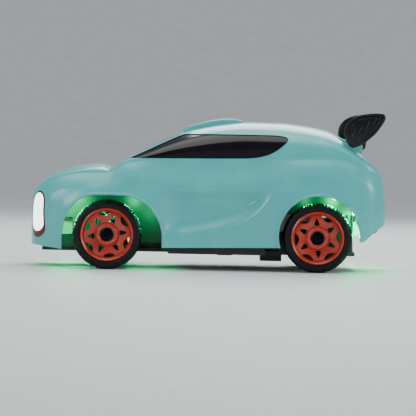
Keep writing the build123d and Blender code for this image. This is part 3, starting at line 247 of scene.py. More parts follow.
def glowing(name, base, glow, strength, cell_mm):
    """A lit plastic cover: bright spots of the diodes show through a milky skin."""
    material, shader = new_material(name, Roughness=0.18, IOR=1.49, Emission_Strength=strength)
    place = add_node(material, "ShaderNodeTexCoord").outputs["Object"]
    cells = add_node(material, "ShaderNodeTexVoronoi", {"Vector": place}, Scale=1 / (cell_mm * MM))
    ramp = add_node(material, "ShaderNodeValToRGB", {"Fac": cells.outputs["Distance"]})
    ramp.color_ramp.elements[0].color = linear(glow)
    ramp.color_ramp.elements[1].color = linear(base)
    material.node_tree.links.new(ramp.outputs["Color"], shader.inputs["Emission Color"])
    material.node_tree.links.new(ramp.outputs["Color"], shader.inputs["Base Color"])
    return material


# Headlight: a milky cover lit from behind, so it reads as one white shape.
lamp_lens = glowing("lit milky acrylic lens", "E9FFF4", "FFFFFF", 3.0, 6.0)
# Glow light: bare green diodes with brighter spots in them.
green_diode = glowing("lit green diode", "18E08A", "7BFFC4", 9.0, 2.0)

# ---------------------------------------------------------------- modelling helpers


def active():
    return bpy.context.view_layer.objects.active


def mesh_at(name, points):
    """The active primitive, renamed, with its vertices at these points in millimetres."""
    piece = active()
    piece.name = piece.data.name = name
    for vertex, point in zip(piece.data.vertices, points):
        vertex.co = Vector(point) * MM
    piece.location = (0, 0, 0)
    return piece


def in_edit(*steps):
    """Runs edit-mode steps on the whole active mesh."""
    bpy.ops.object.mode_set(mode="EDIT")
    bpy.ops.mesh.select_all(action="SELECT")
    for step in steps:
        step()
    bpy.ops.object.mode_set(mode="OBJECT")


def outward():
    """Selects the whole mesh in edit mode and turns its faces outwards."""
    bpy.ops.mesh.select_all(action="SELECT")
    bpy.ops.mesh.normals_make_consistent(inside=False)


def modify(piece, kind, **settings):
    """Adds a modifier with these settings and applies it."""
    bpy.context.view_layer.objects.active = piece
    modifier = piece.modifiers.new(kind, kind)
    for key, value in settings.items():
        setattr(modifier, key, value)
    bpy.ops.object.modifier_apply(modifier=modifier.name)
    return piece


def cut(piece, cutter, operation="DIFFERENCE", keep=False):
    """Boolean with a cutter, which is then thrown away unless it is kept."""
    modify(piece, "BOOLEAN", object=cutter, operation=operation, solver="EXACT")
    if not keep:
        bpy.data.objects.remove(cutter)
    return piece


def plate(name, outline, low, high, axis="X", bevel=0.0, segments=3):
    """Flat piece: an outline (two coordinates, millimetres) drawn out along an axis from low to high."""
    place = {
        "X": lambda a, b: (low, a, b),
        "Y": lambda a, b: (a, low, b),
        "Z": lambda a, b: (a, b, low),
    }[axis]
    bpy.ops.mesh.primitive_circle_add(vertices=len(outline), fill_type="NGON")
    piece = mesh_at(name, [place(a, b) for a, b in outline])
    way = Vector([(high - low) * MM * (axis == letter) for letter in "XYZ"])
    in_edit(lambda: bpy.ops.mesh.extrude_region_move(TRANSFORM_OT_translate={"value": way}), outward)
    if bevel:
        modify(
            piece, "BEVEL", width=bevel * MM, segments=segments, limit_method="ANGLE",
            angle_limit=math.radians(35),
        )
    return piece


def lathe(name, profile, steps, centre=(0, 0)):
    """Ring round an axis along X: a closed profile of (x, radius) spun full circle about (y, z)."""
    bpy.ops.mesh.primitive_circle_add(vertices=len(profile), fill_type="NOTHING")
    piece = mesh_at(name, [(x, centre[0], centre[1] + r) for x, r in profile])
    middle = Vector((0, centre[0], centre[1])) * MM
    in_edit(
        lambda: bpy.ops.mesh.spin(steps=steps, angle=2 * math.pi, center=middle, axis=(1, 0, 0)),
        lambda: bpy.ops.mesh.select_all(action="SELECT"),
        lambda: bpy.ops.mesh.remove_doubles(threshold=0.00001),
        outward,
    )
    return piece


def tube(name, points, radius, closed=False):
    """Round bead along points in millimetres, made a mesh with its place applied."""
    bpy.ops.curve.primitive_nurbs_path_add()
    piece = active()
    piece.name = name
    piece.data.splines.clear()
    line = piece.data.splines.new("POLY")
    line.points.add(len(points) - 1)
    for spot, point in zip(line.points, points):
        spot.co = (*(Vector(point) * MM), 1)
    line.use_cyclic_u = closed
    piece.location = (0, 0, 0)
    piece.data.dimensions = "3D"
    piece.data.bevel_depth = radius * MM
    piece.data.bevel_resolution = 3
    piece.data.use_fill_caps = True
    bpy.ops.object.select_all(action="DESELECT")
    piece.select_set(True)
    bpy.ops.object.convert(target="MESH")
    piece = active()
    in_edit(outward)
    return piece


def finish(piece, material, body, replaced=(), angle=40, smooth_all=False):
    """Shades, paints and mounts a finished piece."""
    piece.data.materials.clear()
    piece.data.materials.append(material)
    bpy.ops.object.select_all(action="DESELECT")
    piece.select_set(True)
    bpy.context.view_layer.objects.active = piece
    if smooth_all:
        bpy.ops.object.shade_smooth()
    else:
        bpy.ops.object.shade_smooth_by_angle(angle=math.radians(angle))
    piece.select_set(False)
    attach(piece, body)
    if replaced:
        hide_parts(*replaced)
    return piece


def twin(piece, name):
    """Mirror copy of a piece across the car's middle, with its own mesh."""
    other = piece.copy()
    other.data = piece.data.copy()
    other.name = other.data.name = name
    bpy.context.collection.objects.link(other)
    for vertex in other.data.vertices:
        vertex.co.x = -vertex.co.x
    bpy.context.view_layer.objects.active = other
    in_edit(lambda: bpy.ops.mesh.flip_normals())
    return other


# ---------------------------------------------------------------- camera, light and floor
CAMERA_DISTANCE = 1300.0
CAMERA_TURN = 90.0
CAMERA_RISE = 1.6
CAMERA_ROLL = 1.06
aim = Vector((0, -0.4, 28.4)) * MM
turn, rise = math.radians(CAMERA_TURN), math.radians(CAMERA_RISE)
back = Vector((math.sin(turn) * math.cos(rise), -math.cos(turn) * math.cos(rise), math.sin(rise)))
bpy.ops.object.camera_add(location=aim + back * CAMERA_DISTANCE * MM)
camera = active()
camera.data.lens = 235.7
camera.data.sensor_width = 36
camera.data.clip_start = 0.05
camera.rotation_mode = "QUATERNION"
level = (-back).to_track_quat("-Z", "Y").to_matrix()
camera.rotation_quaternion = (
    level @ Matrix.Rotation(math.radians(CAMERA_ROLL), 3, "Z")
).to_quaternion()
bpy.context.scene.camera = camera

world = bpy.data.worlds.new("soft room")
bpy.context.scene.world = world
world.use_nodes = True
world.node_tree.nodes["Background"].inputs["Color"].default_value = linear("DDE3EA")
world.node_tree.nodes["Background"].inputs["Strength"].default_value = 0.30


def soft_light(name, place, size, power, tint="FFFFFF"):
    """Square studio lamp that looks at the middle of the car."""
    bpy.ops.object.light_add(type="AREA", location=Vector(place) * MM)
    lamp = active()
    lamp.name = name
    lamp.data.size = size * MM
    lamp.data.energy = power
    lamp.data.color = linear(tint)[:3]
    lamp.rotation_mode = "QUATERNION"
    lamp.rotation_quaternion = (aim - lamp.location).to_track_quat("-Z", "Y")


soft_light("overhead softbox", (60, -80, 700), 600, 2.4)
soft_light("front softbox", (650, -450, 330), 300, 1.5)
soft_light("rim softbox", (-500, 100, 450), 400, 3.0)
soft_light("rear softbox", (300, 600, 260), 260, 1.5)
soft_light("ceiling", (0, 0, 3600), 5000, 75.0)

# Floor and backdrop are one card that sweeps up all round, so that no horizon shows.
bpy.ops.mesh.primitive_grid_add(x_subdivisions=90, y_subdivisions=90, size=11)
floor = active()
floor.name = "studio_floor"
for vertex in floor.data.vertices:
    vertex.co.z = 1.5 * smooth(1.7, 4.2, math.hypot(vertex.co.x, vertex.co.y))
floor.data.polygons.foreach_set("use_smooth", [True] * len(floor.data.polygons))
floor_paint = grained("pale studio card", "D3D6D8", "DBDDDF", 3.0, 0.05, Roughness=0.6, IOR=1.45)
floor.data.materials.append(floor_paint)

# ---------------------------------------------------------------- body surface
top_line = curve(
    [
        (nose(0), BONNET_Z - 13.6), (nose(1.2), BONNET_Z - 11.0), (nose(4.2), BONNET_Z - 8.0),
        (nose(7.2), BONNET_Z - 5.8), (nose(12), BONNET_Z - 3.0), (nose(19), BONNET_Z - 1.0),
        (nose(26), BONNET_Z + 0.2), (cabin(-0.035), BONNET_Z + 0.3), (cabin(0.004), BONNET_Z - 1.1),
        (cabin(0.035), BONNET_Z + 0.4), (cabin(0.075), BELT_Z - 0.4), (cabin(0.18), ROOF_Z - 12.4),
        (cabin(0.27), ROOF_Z - 8.1), (cabin(0.34), ROOF_Z - 5.4), (cabin(0.42), ROOF_Z - 3.3),
        (cabin(0.55), ROOF_Z - 0.9), (cabin(0.68), ROOF_Z), (cabin(0.82), ROOF_Z - 0.1),
        (cabin(0.93), ROOF_Z - 1.2), (tail(27), ROOF_Z - 3.6), (tail(21), ROOF_Z - 6.6),
        (tail(11.4), BELT_Z + 4.5), (tail(3.4), BELT_Z - 3.6), (tail(1.6), BELT_Z - 6.9),
        (tail(0.8), BELT_Z - 10.3), (tail(0), BELT_Z - 15.8),
    ]
)
edge_line = curve(
    [
        (nose(0), BONNET_Z - 16.2), (nose(4), BONNET_Z - 10.7), (nose(12), BONNET_Z - 5.7),
        (nose(22), BONNET_Z - 3.4), (cabin(0.0), BONNET_Z - 2.7), (cabin(0.1), BELT_Z - 1.3),
        (cabin(0.3), BELT_Z), (cabin(0.8), BELT_Z + 1.0), (tail(25), BELT_Z + 1.7),
        (tail(12), BELT_Z - 1.8), (tail(4), BELT_Z - 6.3), (tail(0), BELT_Z - 17.8),
    ]
)
plan_line = curve(
    [
        (nose(0), HALF_WIDTH - 16.0), (nose(0.8), HALF_WIDTH - 11.5), (nose(2.5), HALF_WIDTH - 7.5),
        (nose(5.5), HALF_WIDTH - 4.6), (nose(10), HALF_WIDTH - 2.6), (nose(18), HALF_WIDTH - 1.0),
        (cabin(0.0), HALF_WIDTH - 0.3), (cabin(0.35), HALF_WIDTH - 1.6), (cabin(0.65), HALF_WIDTH - 1.4),
        (cabin(1.0), HALF_WIDTH - 0.3), (tail(18), HALF_WIDTH - 0.9), (tail(10), HALF_WIDTH - 2.4),
        (tail(5.5), HALF_WIDTH - 4.6), (tail(2.5), HALF_WIDTH - 7.8), (tail(0.8), HALF_WIDTH - 11.5),
        (tail(0), HALF_WIDTH - 16.0),
    ]
)
# Side profiles, as shares of the half width from the skirt (0) up to the edge line (1).
fender_side = curve([(0, 0.95), (0.3, 0.972), (0.6, 1.0), (0.78, 0.985), (0.9, 0.935), (1, 0.865)])
door_side = curve(
    [
        (0, 0.975), (0.2, 0.985), (0.5, 0.995), (0.62, 0.99), (0.74, 0.955), (0.86, 0.895),
        (0.94, 0.862), (1, 0.85),
    ]
)
# The crease that sweeps from the front of the sill up to the rear haunch.
crease = curve(
    [
        (cabin(0.24), SILL_Z + 2.3), (cabin(0.44), SILL_Z + 5.2), (cabin(0.61), SILL_Z + 9.6),
        (cabin(0.705), SILL_Z + 15.6), (cabin(0.77), SILL_Z + 22.8), (cabin(0.81), SILL_Z + 28.0),
    ]
)
SHOULDER_Z = BELT_Z - 15.0
HOLLOW = 3.8
LIP_RISE = 0.75
ARCH_AHEAD, ARCH_BEHIND, ARCH_TOP_Z, ARCH_LOW_Z, ARCH_FLAT = 21.6, 26.2, 35.2, 15.0, 6.0
REAR_ARCH = (REAR_Y + 0.7, HUB_Z + 0.8, 19.4)


def front_arch_gap(y, z):
    """Rough distance outside the front arch, as millimetres from its rim."""
    dy = y - FRONT_Y
    reach = (ARCH_BEHIND if dy > 0 else ARCH_AHEAD) - ARCH_FLAT
    a = max(abs(dy) - ARCH_FLAT, 0) / reach
    b = max(z - ARCH_LOW_Z, 0) / (ARCH_TOP_Z - ARCH_LOW_Z)
    share = math.hypot(a, b)
    return (share - 1) * (reach * a + (ARCH_TOP_Z - ARCH_LOW_Z) * b) / max(a + b, 0.01)


def rear_arch_gap(y, z):
    """Distance outside the rear arch's rim."""
    return math.hypot(y - REAR_ARCH[0], max(z, 6) - REAR_ARCH[1]) - REAR_ARCH[2]


def side_x(y, z):
    """Half width of the outside of the body at this height, up to the edge line."""
    share = min(max((z - SKIRT_Z) / (edge_line(y) - SKIRT_Z), 0.0), 1.0)
    doorness = smooth(cabin(0.12), cabin(0.34), y) * (1 - smooth(cabin(0.66), cabin(0.95), y))
    x = plan_line(y) * (fender_side(share) * (1 - doorness) + door_side(share) * doorness)
    inside = smooth(0, 9, z - crease(y)) * smooth(-1, 6.5, SHOULDER_Z + 1.5 - z)
    along = smooth(cabin(0.235), cabin(0.36), y) * (1 - smooth(cabin(0.7), cabin(0.84), y))
    x -= HOLLOW * inside * along
    for gap in (front_arch_gap(y, z), rear_arch_gap(y, z)):
        x += LIP_RISE * math.exp(-((max(gap, 0) / 2.6) ** 2)) * smooth(4, 14, min(y - NOSE_Y, TAIL_Y - y))
    return x


SIDE_STEPS = 44
ROOF_STEPS = 26


def section(y):
    """Points of one cross-section, left sill over the roof to right sill."""
    crown = top_line(y)
    edge = min(edge_line(y), crown - 1.5)
    half = []
    for k in range(SIDE_STEPS + 1):
        z = SKIRT_Z - 3 + (edge - SKIRT_Z + 3) * k / SIDE_STEPS
        half.append((side_x(y, z), z))
    edge_x = half[-1][0]
    bulge = 1.0 - 0.05 * ball(y, cabin(-0.1), 16)
    for k in range(1, ROOF_STEPS + 1):
        angle = math.pi / 2 * k / ROOF_STEPS
        across = math.cos(angle) ** (2 / 2.8) if k < ROOF_STEPS else 0.0
        up = math.sin(angle) ** (2 / 2.8 * bulge)
        half.append((edge_x * across, edge + (crown - edge) * up))
    return half + [(-x, z) for x, z in reversed(half[:-1])]


def station_list():
    """Places along the car, closer together where the surface turns fast."""
    ends = [0.0, 0.15, 0.4, 0.8, 1.3, 2.0, 2.8, 3.7, 4.7, 5.8]
    middle = [7.0 + 0.85 * k for k in range(int((TAIL_Y - NOSE_Y - 14) / 0.85) + 1)]
    return [nose(d) for d in ends + middle] + [tail(d) for d in reversed(ends)]


CAP_SHARES = [0.03, 0.2, 0.4, 0.6, 0.78, 0.9, 0.97]


def skin(name, inset, thickness):
    """The body's surface as a closed sheet of this thickness, starting inset below the outside."""
    rows = []
    first, last = section(NOSE_Y), section(TAIL_Y)
    foot = SKIRT_Z - 3
    for share in CAP_SHARES:
        rows.append([(x * share, NOSE_Y, foot + (z - foot) * share) for x, z in first])
    for y in station_list():
        rows.append([(x, y, z) for x, z in section(y)])
    for share in reversed(CAP_SHARES):
        rows.append([(x * share, TAIL_Y, foot + (z - foot) * share) for x, z in last])
    wide, long = len(rows[0]), len(rows)
    bpy.ops.mesh.primitive_grid_add(x_subdivisions=wide - 1, y_subdivisions=long - 1)
    sheet = mesh_at(name, [point for row in rows for point in row])
    in_edit(outward)
    if sheet.data.polygons[len(sheet.data.polygons) // 2].normal.z < 0:
        in_edit(lambda: bpy.ops.mesh.flip_normals())
    if inset:
        in_edit(lambda: bpy.ops.transform.shrink_fatten(value=-inset * MM))
    return modify(sheet, "SOLIDIFY", thickness=thickness * MM, offset=-1.0)


def circle(centre, radius, steps=64, start=0.0, end=360.0):
    angles = [math.radians(start + (end - start) * k / steps) for k in range(steps + (end - start < 360))]
    return [(centre[0] + radius * math.cos(a), centre[1] + radius * math.sin(a)) for a in angles]


def front_arch_outline():
    """The front arch from its front foot over the top to its rear foot."""
    rise = ARCH_TOP_Z - ARCH_LOW_Z
    ahead, behind = ARCH_AHEAD - ARCH_FLAT, ARCH_BEHIND - ARCH_FLAT
    points = [(FRONT_Y - ARCH_AHEAD, SILL_Z - 1.2), (FRONT_Y - ARCH_AHEAD, (SILL_Z + ARCH_LOW_Z) / 2)]
    for k in range(25):
        a = math.pi - math.pi / 2 * k / 24
        points.append((FRONT_Y - ARCH_FLAT + ahead * math.cos(a), ARCH_LOW_Z + rise * math.sin(a)))
    for k in range(25):
        a = math.pi / 2 * (1 - k / 24)
        points.append((FRONT_Y + ARCH_FLAT + behind * math.cos(a), ARCH_LOW_Z + rise * math.sin(a)))
    return points + [(FRONT_Y + ARCH_BEHIND, SILL_Z)]


underside = [
    (NOSE_Y - 5, SILL_Z + 0.5), (nose(0), SILL_Z + 0.5), (FRONT_Y - ARCH_AHEAD, SILL_Z - 1.2),
    (FRONT_Y + ARCH_BEHIND, SILL_Z), (REAR_Y - 19.4, SILL_Z + 0.9), (tail(10.8), SILL_Z + 4.2),
    (tail(4.6), SILL_Z + 9.7), (tail(0.7), SILL_Z + 12.1), (tail(0), SILL_Z + 14.8),
    (TAIL_Y + 5, SILL_Z + 14.8), (TAIL_Y + 5, -5), (NOSE_Y - 5, -5),
]
WINDOW_TOP_Z = ROOF_Z - 5.9


def bezier(points, steps=14):
    """Points on a cubic through four control points."""
    a, b, c, d = [Vector(p) for p in points]
    result = []
    for k in range(steps):
        t = k / steps
        p = a * (1 - t) ** 3 + 3 * b * t * (1 - t) ** 2 + 3 * c * t * t * (1 - t) + d * t**3
        result.append((p.x, p.y))
    return result


def side_window_outline():
    """Teardrop side window, front foot first."""
    low, high = BELT_Z + 0.1, WINDOW_TOP_Z
    foot = (cabin(0.1), low)
    sill = (cabin(0.66), low + 0.7)
    tip = (cabin(0.845), high - 3.6)
    crown = (cabin(0.76), high)
    brow = (cabin(0.36), high - 0.1)
    points = bezier([foot, (cabin(0.3), low + 0.2), (cabin(0.5), low + 0.3), sill], 10)
    points += bezier([sill, (cabin(0.76), low + 1.2), (cabin(0.8), low + 4.0), tip], 12)
    points += bezier([tip, (cabin(0.87), high - 1.0), (cabin(0.84), high), crown], 12)
    points += bezier([crown, (cabin(0.6), high + 0.1), (cabin(0.45), high), brow], 8)
    points += bezier([brow, (cabin(0.29), high - 2.6), (cabin(0.18), high - 8.4), foot], 12)
    return points


SCREEN_FOOT, SCREEN_HEAD = (HALF_WIDTH - 14.0, cabin(0.085)), (HALF_WIDTH - 21.7, cabin(0.335))
PILLAR = 1.4
LAMP_Z = SILL_Z + 15.0
LAMP_LENGTH, LAMP_WIDTH, LAMP_TURN, BEZEL = 19.0, 8.2, 48.0, 0.9
lamp_y = nose(2.8)
lamp_x = side_x(lamp_y, LAMP_Z)


def lamp_prism(side, grow, drop=0.0):
    """Straight oval prism through the nose's corner."""
    half, straight = LAMP_WIDTH / 2 + grow, (LAMP_LENGTH - LAMP_WIDTH) / 2
    oval = circle((0, straight), half, 24, 0, 180) + circle((0, -straight - drop), half, 24, 180, 360)
    turn = math.radians(LAMP_TURN)
    out = Vector((side * math.sin(turn), -math.cos(turn), 0))
    across = Vector((math.cos(turn), side * math.sin(turn), 0))
    origin = Vector((side * lamp_x, lamp_y, LAMP_Z))
    bpy.ops.mesh.primitive_circle_add(vertices=len(oval), fill_type="NGON")
    mesh_at("lamp prism", [origin + across * a + Vector((0, 0, b)) - out * 7 for a, b in oval])
    way = out * 14 * MM
    prism = active()
    in_edit(lambda: bpy.ops.mesh.extrude_region_move(TRANSFORM_OT_translate={"value": way}), outward)
    return prism


def rounded_box(centre, size, radius, steps=6):
    """Outline of a rectangle with round corners."""
    a, b = size[0] / 2 - radius, size[1] / 2 - radius
    points = []
    for k, (sx, sz) in enumerate(((1, 1), (-1, 1), (-1, -1), (1, -1))):
        points += circle((centre[0] + sx * a, centre[1] + sz * b), radius, steps, 90 * k, 90 * k + 90)
    return points


GRILLE_Z = SILL_Z + 9.0
grille_outline = rounded_box((0, GRILLE_Z), (34, 7), 2.0)
tail_outlines = [rounded_box((x, BELT_Z - 16.5), (13, 5), 1.6) for x in (-17.5, 17.5)]


def screen_cutter(grow=0.0):
    """Upright prism through the windscreen, wider all round by grow."""
    (foot, low), (head, high) = SCREEN_FOOT, SCREEN_HEAD
    outline = [
        (-foot - grow, low - grow), (foot + grow, low - grow), (head + grow, high + grow),
        (-head - grow, high + grow),
    ]
    return plate("screen cutter", outline, BONNET_Z, ROOF_Z + 5, "Z")


def hatch_cutter():
    return plate("hatch cutter", rounded_box((0, tail(7.9)), (42, 7.4), 1.5), BELT_Z - 8, BELT_Z + 12, "Z")


def tail_lamp_cutters():
    return [plate("tail lamp cutter", outline, tail(5), tail(-3), "Y") for outline in tail_outlines]


def side_window_cutter(side):
    """Prism through one side window, stopped short of the windscreen by the pillar."""
    prism = plate("window cutter", side_window_outline(), side * 18, side * 48)
    return cut(prism, screen_cutter(PILLAR))


front_arch_prism = front_arch_outline() + [(FRONT_Y + ARCH_BEHIND, -3), (FRONT_Y - ARCH_AHEAD, -3)]
body = skin("body_skin", 0.0, WALL)
for cutter in (
    plate("arch cutter", front_arch_prism, -60, 60),
    plate("arch cutter", circle(REAR_ARCH[:2], REAR_ARCH[2], 96), -60, 60),
    plate("skirt cutter", underside, -60, 60),
    screen_cutter(),
    hatch_cutter(),
    plate("grille cutter", grille_outline, nose(-3), nose(4), "Y"),
    *tail_lamp_cutters(),
    *[side_window_cutter(side) for side in SIDES.values()],
    *[lamp_prism(side, BEZEL, 0.9) for side in SIDES.values()],
):
    cut(body, cutter)
finish(body, mint_abs, "bodyshell", ["body_shell"], angle=50)


# ---------------------------------------------------------------- panes, lamps and grille


def pane(name, sheet, cutter, material, node):
    """A piece of the inset sheet inside a cutter's outline."""
    piece = sheet.copy()
    piece.data = sheet.data.copy()
    bpy.context.collection.objects.link(piece)
    piece.name = piece.data.name = name
    cut(piece, cutter, "INTERSECT")
    return finish(piece, material, "bodyshell", [node], angle=50)


glazing = skin("glazing sheet", 0.35, 0.8)
pane("windscreen_pane", glazing, screen_cutter(), black_print, "windscreen")
pane("hatch_pane", glazing, hatch_cutter(), black_print, "rear_window")
for side_name, side in SIDES.items():
    pane(
        f"side_pane_{side_name}", glazing, side_window_cutter(side),
        black_print, f"side_window_{side_name}",
    )
both_lamps, other_lamp = tail_lamp_cutters()
cut(both_lamps, other_lamp, "UNION")
pane("tail_lamp_lenses", glazing, both_lamps, red_lens, "tail_lamps")
lamp_sheet = skin("lamp sheet", 0.0, 1.1)
for side_name, side in SIDES.items():
    pane(
        f"headlight_cover_{side_name}", lamp_sheet, lamp_prism(side, -0.02, -1.2), lamp_lens,
        f"headlight_lens_{side_name}",
    )
    ring_cutter = lamp_prism(side, BEZEL - 0.02, 0.9)
    cut(ring_cutter, lamp_prism(side, 0.02, -1.2))
    pane(
        f"headlight_ring_{side_name}", lamp_sheet, ring_cutter, bezel_abs, f"headlight_bezel_{side_name}",
    )
for sheet in (glazing, lamp_sheet):
    bpy.data.objects.remove(sheet)


def join(name, pieces):
    """Several meshes made one piece."""
    bpy.ops.object.select_all(action="DESELECT")
    for piece in pieces:
        piece.select_set(True)
    bpy.context.view_layer.objects.active = pieces[0]
    bpy.ops.object.join()
    pieces[0].name = pieces[0].data.name = name
    return pieces[0]


slats = [plate("grille back", rounded_box((0, GRILLE_Z), (33.6, 6.6), 1.9), nose(0.9), nose(1.2), "Y")]
for k in range(4):
    low = GRILLE_Z - 2.9 + k * 1.65
    profile = [
        (nose(0.35), low), (nose(1.0), low + 0.2), (nose(1.0), low + 0.75), (nose(0.35), low + 0.55)
    ]
    slats.append(plate("slat", profile, -16.2, 16.2, "X", 0.12))
finish(join("grille_slats", slats), black_trim_and_well_shade, "bodyshell", ["front_grille"])

# ---------------------------------------------------------------- scoop, tail lip and arch beads
scoop = plate(
    "roof_scoop_hood",
    [
        (cabin(0.355) + 0.2, ROOF_Z - 6.6), (cabin(0.355) - 0.5, ROOF_Z - 3.9), (cabin(0.37), ROOF_Z - 2.5),
        (cabin(0.42), ROOF_Z - 0.9), (cabin(0.49), ROOF_Z + 0.7), (cabin(0.55), ROOF_Z + 1.5),
        (cabin(0.61), ROOF_Z + 1.4), (cabin(0.632), ROOF_Z + 0.8), (cabin(0.645), ROOF_Z - 0.4),
        (cabin(0.645), ROOF_Z - 2.4), (cabin(0.5), ROOF_Z - 3.4),
    ],
    -8.5, 8.5, "X", 1.0, 4,
)
scoop_mouth = [
    (cabin(0.33), ROOF_Z - 5.2), (cabin(0.44), ROOF_Z - 2.3), (cabin(0.44), ROOF_Z - 1.1),
    (cabin(0.37), ROOF_Z - 3.3), (cabin(0.33), ROOF_Z - 4.2),
]
cut(scoop, plate("scoop mouth", scoop_mouth, -7.1, 7.1))
finish(scoop, mint_abs, "bodyshell", ["roof_scoop"])
lip = plate(
    "hatch_lip",
    [
        (tail(25.0), ROOF_Z - 6.8), (tail(24.0), ROOF_Z - 4.9), (tail(20.0), ROOF_Z - 6.0),
        (tail(15.5), ROOF_Z - 7.3), (tail(11.6), ROOF_Z - 8.6), (tail(11.3), ROOF_Z - 9.4),
        (tail(11.4), ROOF_Z - 12.6), (tail(14.5), ROOF_Z - 13.0), (tail(20.0), ROOF_Z - 9.5),
    ],
    -22.5, 22.5, "X", 0.7, 3,
)
for vertex in lip.data.vertices:
    reach = smooth(tail(25) * MM, tail(11) * MM, vertex.co.y)
    vertex.co.x *= 1.0 - 0.1 * reach
    vertex.co.z -= 1.6 * MM * (abs(vertex.co.x) / (23 * MM)) ** 3
finish(lip, mint_abs, "bodyshell", ["roof_spoiler"])


BEAD = 0.7
BAND_WALL = 0.8


def rim_points(outline, side):
    """An arch outline laid on one side of the body, just under its surface."""
    return [(side * (side_x(y, z) - 0.25), y, z) for y, z in outline]


for side_name, side in SIDES.items():
    beads = [tube("bead", rim_points(front_arch_outline(), side), BEAD)]
    low = math.degrees(math.asin((SILL_Z + 0.9 - REAR_ARCH[1]) / REAR_ARCH[2]))
    high = math.degrees(math.asin((SILL_Z + 4.2 - REAR_ARCH[1]) / REAR_ARCH[2]))
    rear_edge = circle(REAR_ARCH[:2], REAR_ARCH[2], 60, high, 180 - low)
    beads.append(tube("bead", rim_points(rear_edge, side), BEAD))
    finish(join(f"arch_beads_{side_name}", beads), mint_abs, "bodyshell", smooth_all=True)

# Wheel wells: a black band inside each arch and a black wall towards the middle of the car. Their black is
# painted shade: it stands in for the shade deep inside the wells, which the green glow then lights.
def well_band(name, rim, low, high, side):
    """Strip of sheet that follows an arch rim, just outside it."""
    far = []
    for k, (y, z) in enumerate(rim):
        (ay, az), (by, bz) = rim[max(k - 1, 0)], rim[min(k + 1, len(rim) - 1)]
        long = math.hypot(by - ay, bz - az)
        far.append((y - (bz - az) / long * BAND_WALL, z + (by - ay) / long * BAND_WALL))
    band = plate(name, rim + far[::-1], side * low, side * high)
    # The band's black is painted shade for the inside of the arch.
    return finish(band, black_trim_and_well_shade, "bodyshell")


front_rim = [(y, z) for y, z in front_arch_outline()[3:] if z > 24 or y > FRONT_Y][:-2]
rear_rim = circle((REAR_ARCH[0], REAR_ARCH[1]), REAR_ARCH[2] + 0.3, 40, 172, 16)
for side_name, side in SIDES.items():
    well_band(f"front_well_band_{side_name}", front_rim, 15.6, 34.0, side)
    well_band(f"rear_well_band_{side_name}", rear_rim, 24.4, 34.6, side)
    front_wall = plate(
        f"front_well_wall_{side_name}",
        [
            (FRONT_Y - 23.3, 23.3), (FRONT_Y - 23.3, 37), (FRONT_Y - 18, 40), (FRONT_Y + 20, 40),
            (FRONT_Y + 25, 36), (FRONT_Y + 25, 12.0), (FRONT_Y + 12.4, 12.0), (FRONT_Y + 12.4, 22.7),
            (FRONT_Y + 7.7, 22.7), (FRONT_Y + 7.7, 28.8), (FRONT_Y - 7.8, 28.8), (FRONT_Y - 7.8, 9.7),
            (FRONT_Y - 16.9, 9.7), (FRONT_Y - 16.9, 23.3),
        ],
        side * 15.4, side * 16.0,
    )
    # The wall's black is painted shade for the depth of the front well.
    finish(front_wall, black_trim_and_well_shade, "bodyshell")
    stay = plate(
        f"bumper_stay_{side_name}", rounded_box((FRONT_Y - 19.6, 12.1), (6.4, 5.4), 0.6),
        side * 14.2, side * 15.0,
    )
    finish(stay, filled_nylon, "chassis")
    rear_wall = plate(
        f"rear_well_wall_{side_name}",
        [
            (REAR_Y - 19, 27), (REAR_Y - 15, 37), (REAR_Y - 6, 41), (REAR_Y + 8, 41),
            (REAR_Y + 17, 36), (REAR_Y + 20, 27),
        ],
        side * 24.1, side * 24.6,
    )
    # The wall's black is painted shade for the depth of the rear well.
    finish(rear_wall, black_trim_and_well_shade, "bodyshell")

# ---------------------------------------------------------------- rear wing
WING_HALF_SPAN = 29.0
leaf = [
    (tail(20.3), ROOF_Z - 5.5), (tail(19.8), ROOF_Z - 1.2), (tail(17.4), ROOF_Z + 1.7),
    (tail(14.9), ROOF_Z + 3.2), (tail(12.1), ROOF_Z + 4.1), (tail(6.5), ROOF_Z + 4.8),
    (tail(2.2), ROOF_Z + 4.5), (tail(1.8), ROOF_Z + 2.6), (tail(3.7), ROOF_Z - 0.7),
    (tail(6.5), ROOF_Z - 4.4), (tail(9.3), ROOF_Z - 6.8), (tail(11.1), ROOF_Z - 8.3),
    (tail(16.0), ROOF_Z - 10.9), (tail(18.1), ROOF_Z - 9.8),
]


def rounded(points, passes=2):
    """Corner-cut copy of a closed outline."""
    for _ in range(passes):
        corners = []
        for (ax, ay), (bx, by) in zip(points, points[1:] + points[:1]):
            corners.append((0.8 * ax + 0.2 * bx, 0.8 * ay + 0.2 * by))
            corners.append((0.2 * ax + 0.8 * bx, 0.2 * ay + 0.8 * by))
        points = corners
    return points


def scaled(points, share, shift=(0, 0)):
    """Outline drawn in towards its own middle."""
    my = sum(p[0] for p in points) / len(points)
    mz = sum(p[1] for p in points) / len(points)
    return [(my + (y - my) * share + shift[0], mz + (z - mz) * share + shift[1]) for y, z in points]


smooth_leaf = rounded(leaf)
for side_name, side in SIDES.items():
    face = side * (WING_HALF_SPAN + 0.9)
    layers = [plate("endplate", smooth_leaf, side * WING_HALF_SPAN, face, "X", 0.2, 2)]
    layers.append(tube("edge", [(face, y, z) for y, z in smooth_leaf], 0.55, closed=True))
    step = scaled(smooth_leaf, 0.72, (0.4, 0.2))
    layers.append(tube("step", [(face, y, z) for y, z in step], 0.4, closed=True))
    for k in range(4):
        y = tail(16.0 - 3.3 * k)
        rib = [
            (face, y - 1.2, ROOF_Z - 6.4 + 2.0 * k), (face + side * 0.1, y + 0.3, ROOF_Z - 3.6 + 2.0 * k),
            (face, y + 0.6, ROOF_Z - 1.4 + 1.6 * k),
        ]
        layers.append(tube("rib", rib, 0.42))
    leaf_piece = join(f"wing_leaf_{side_name}", layers)
    finish(leaf_piece, black_abs, "bodyshell", [f"wing_endplate_{side_name}"])


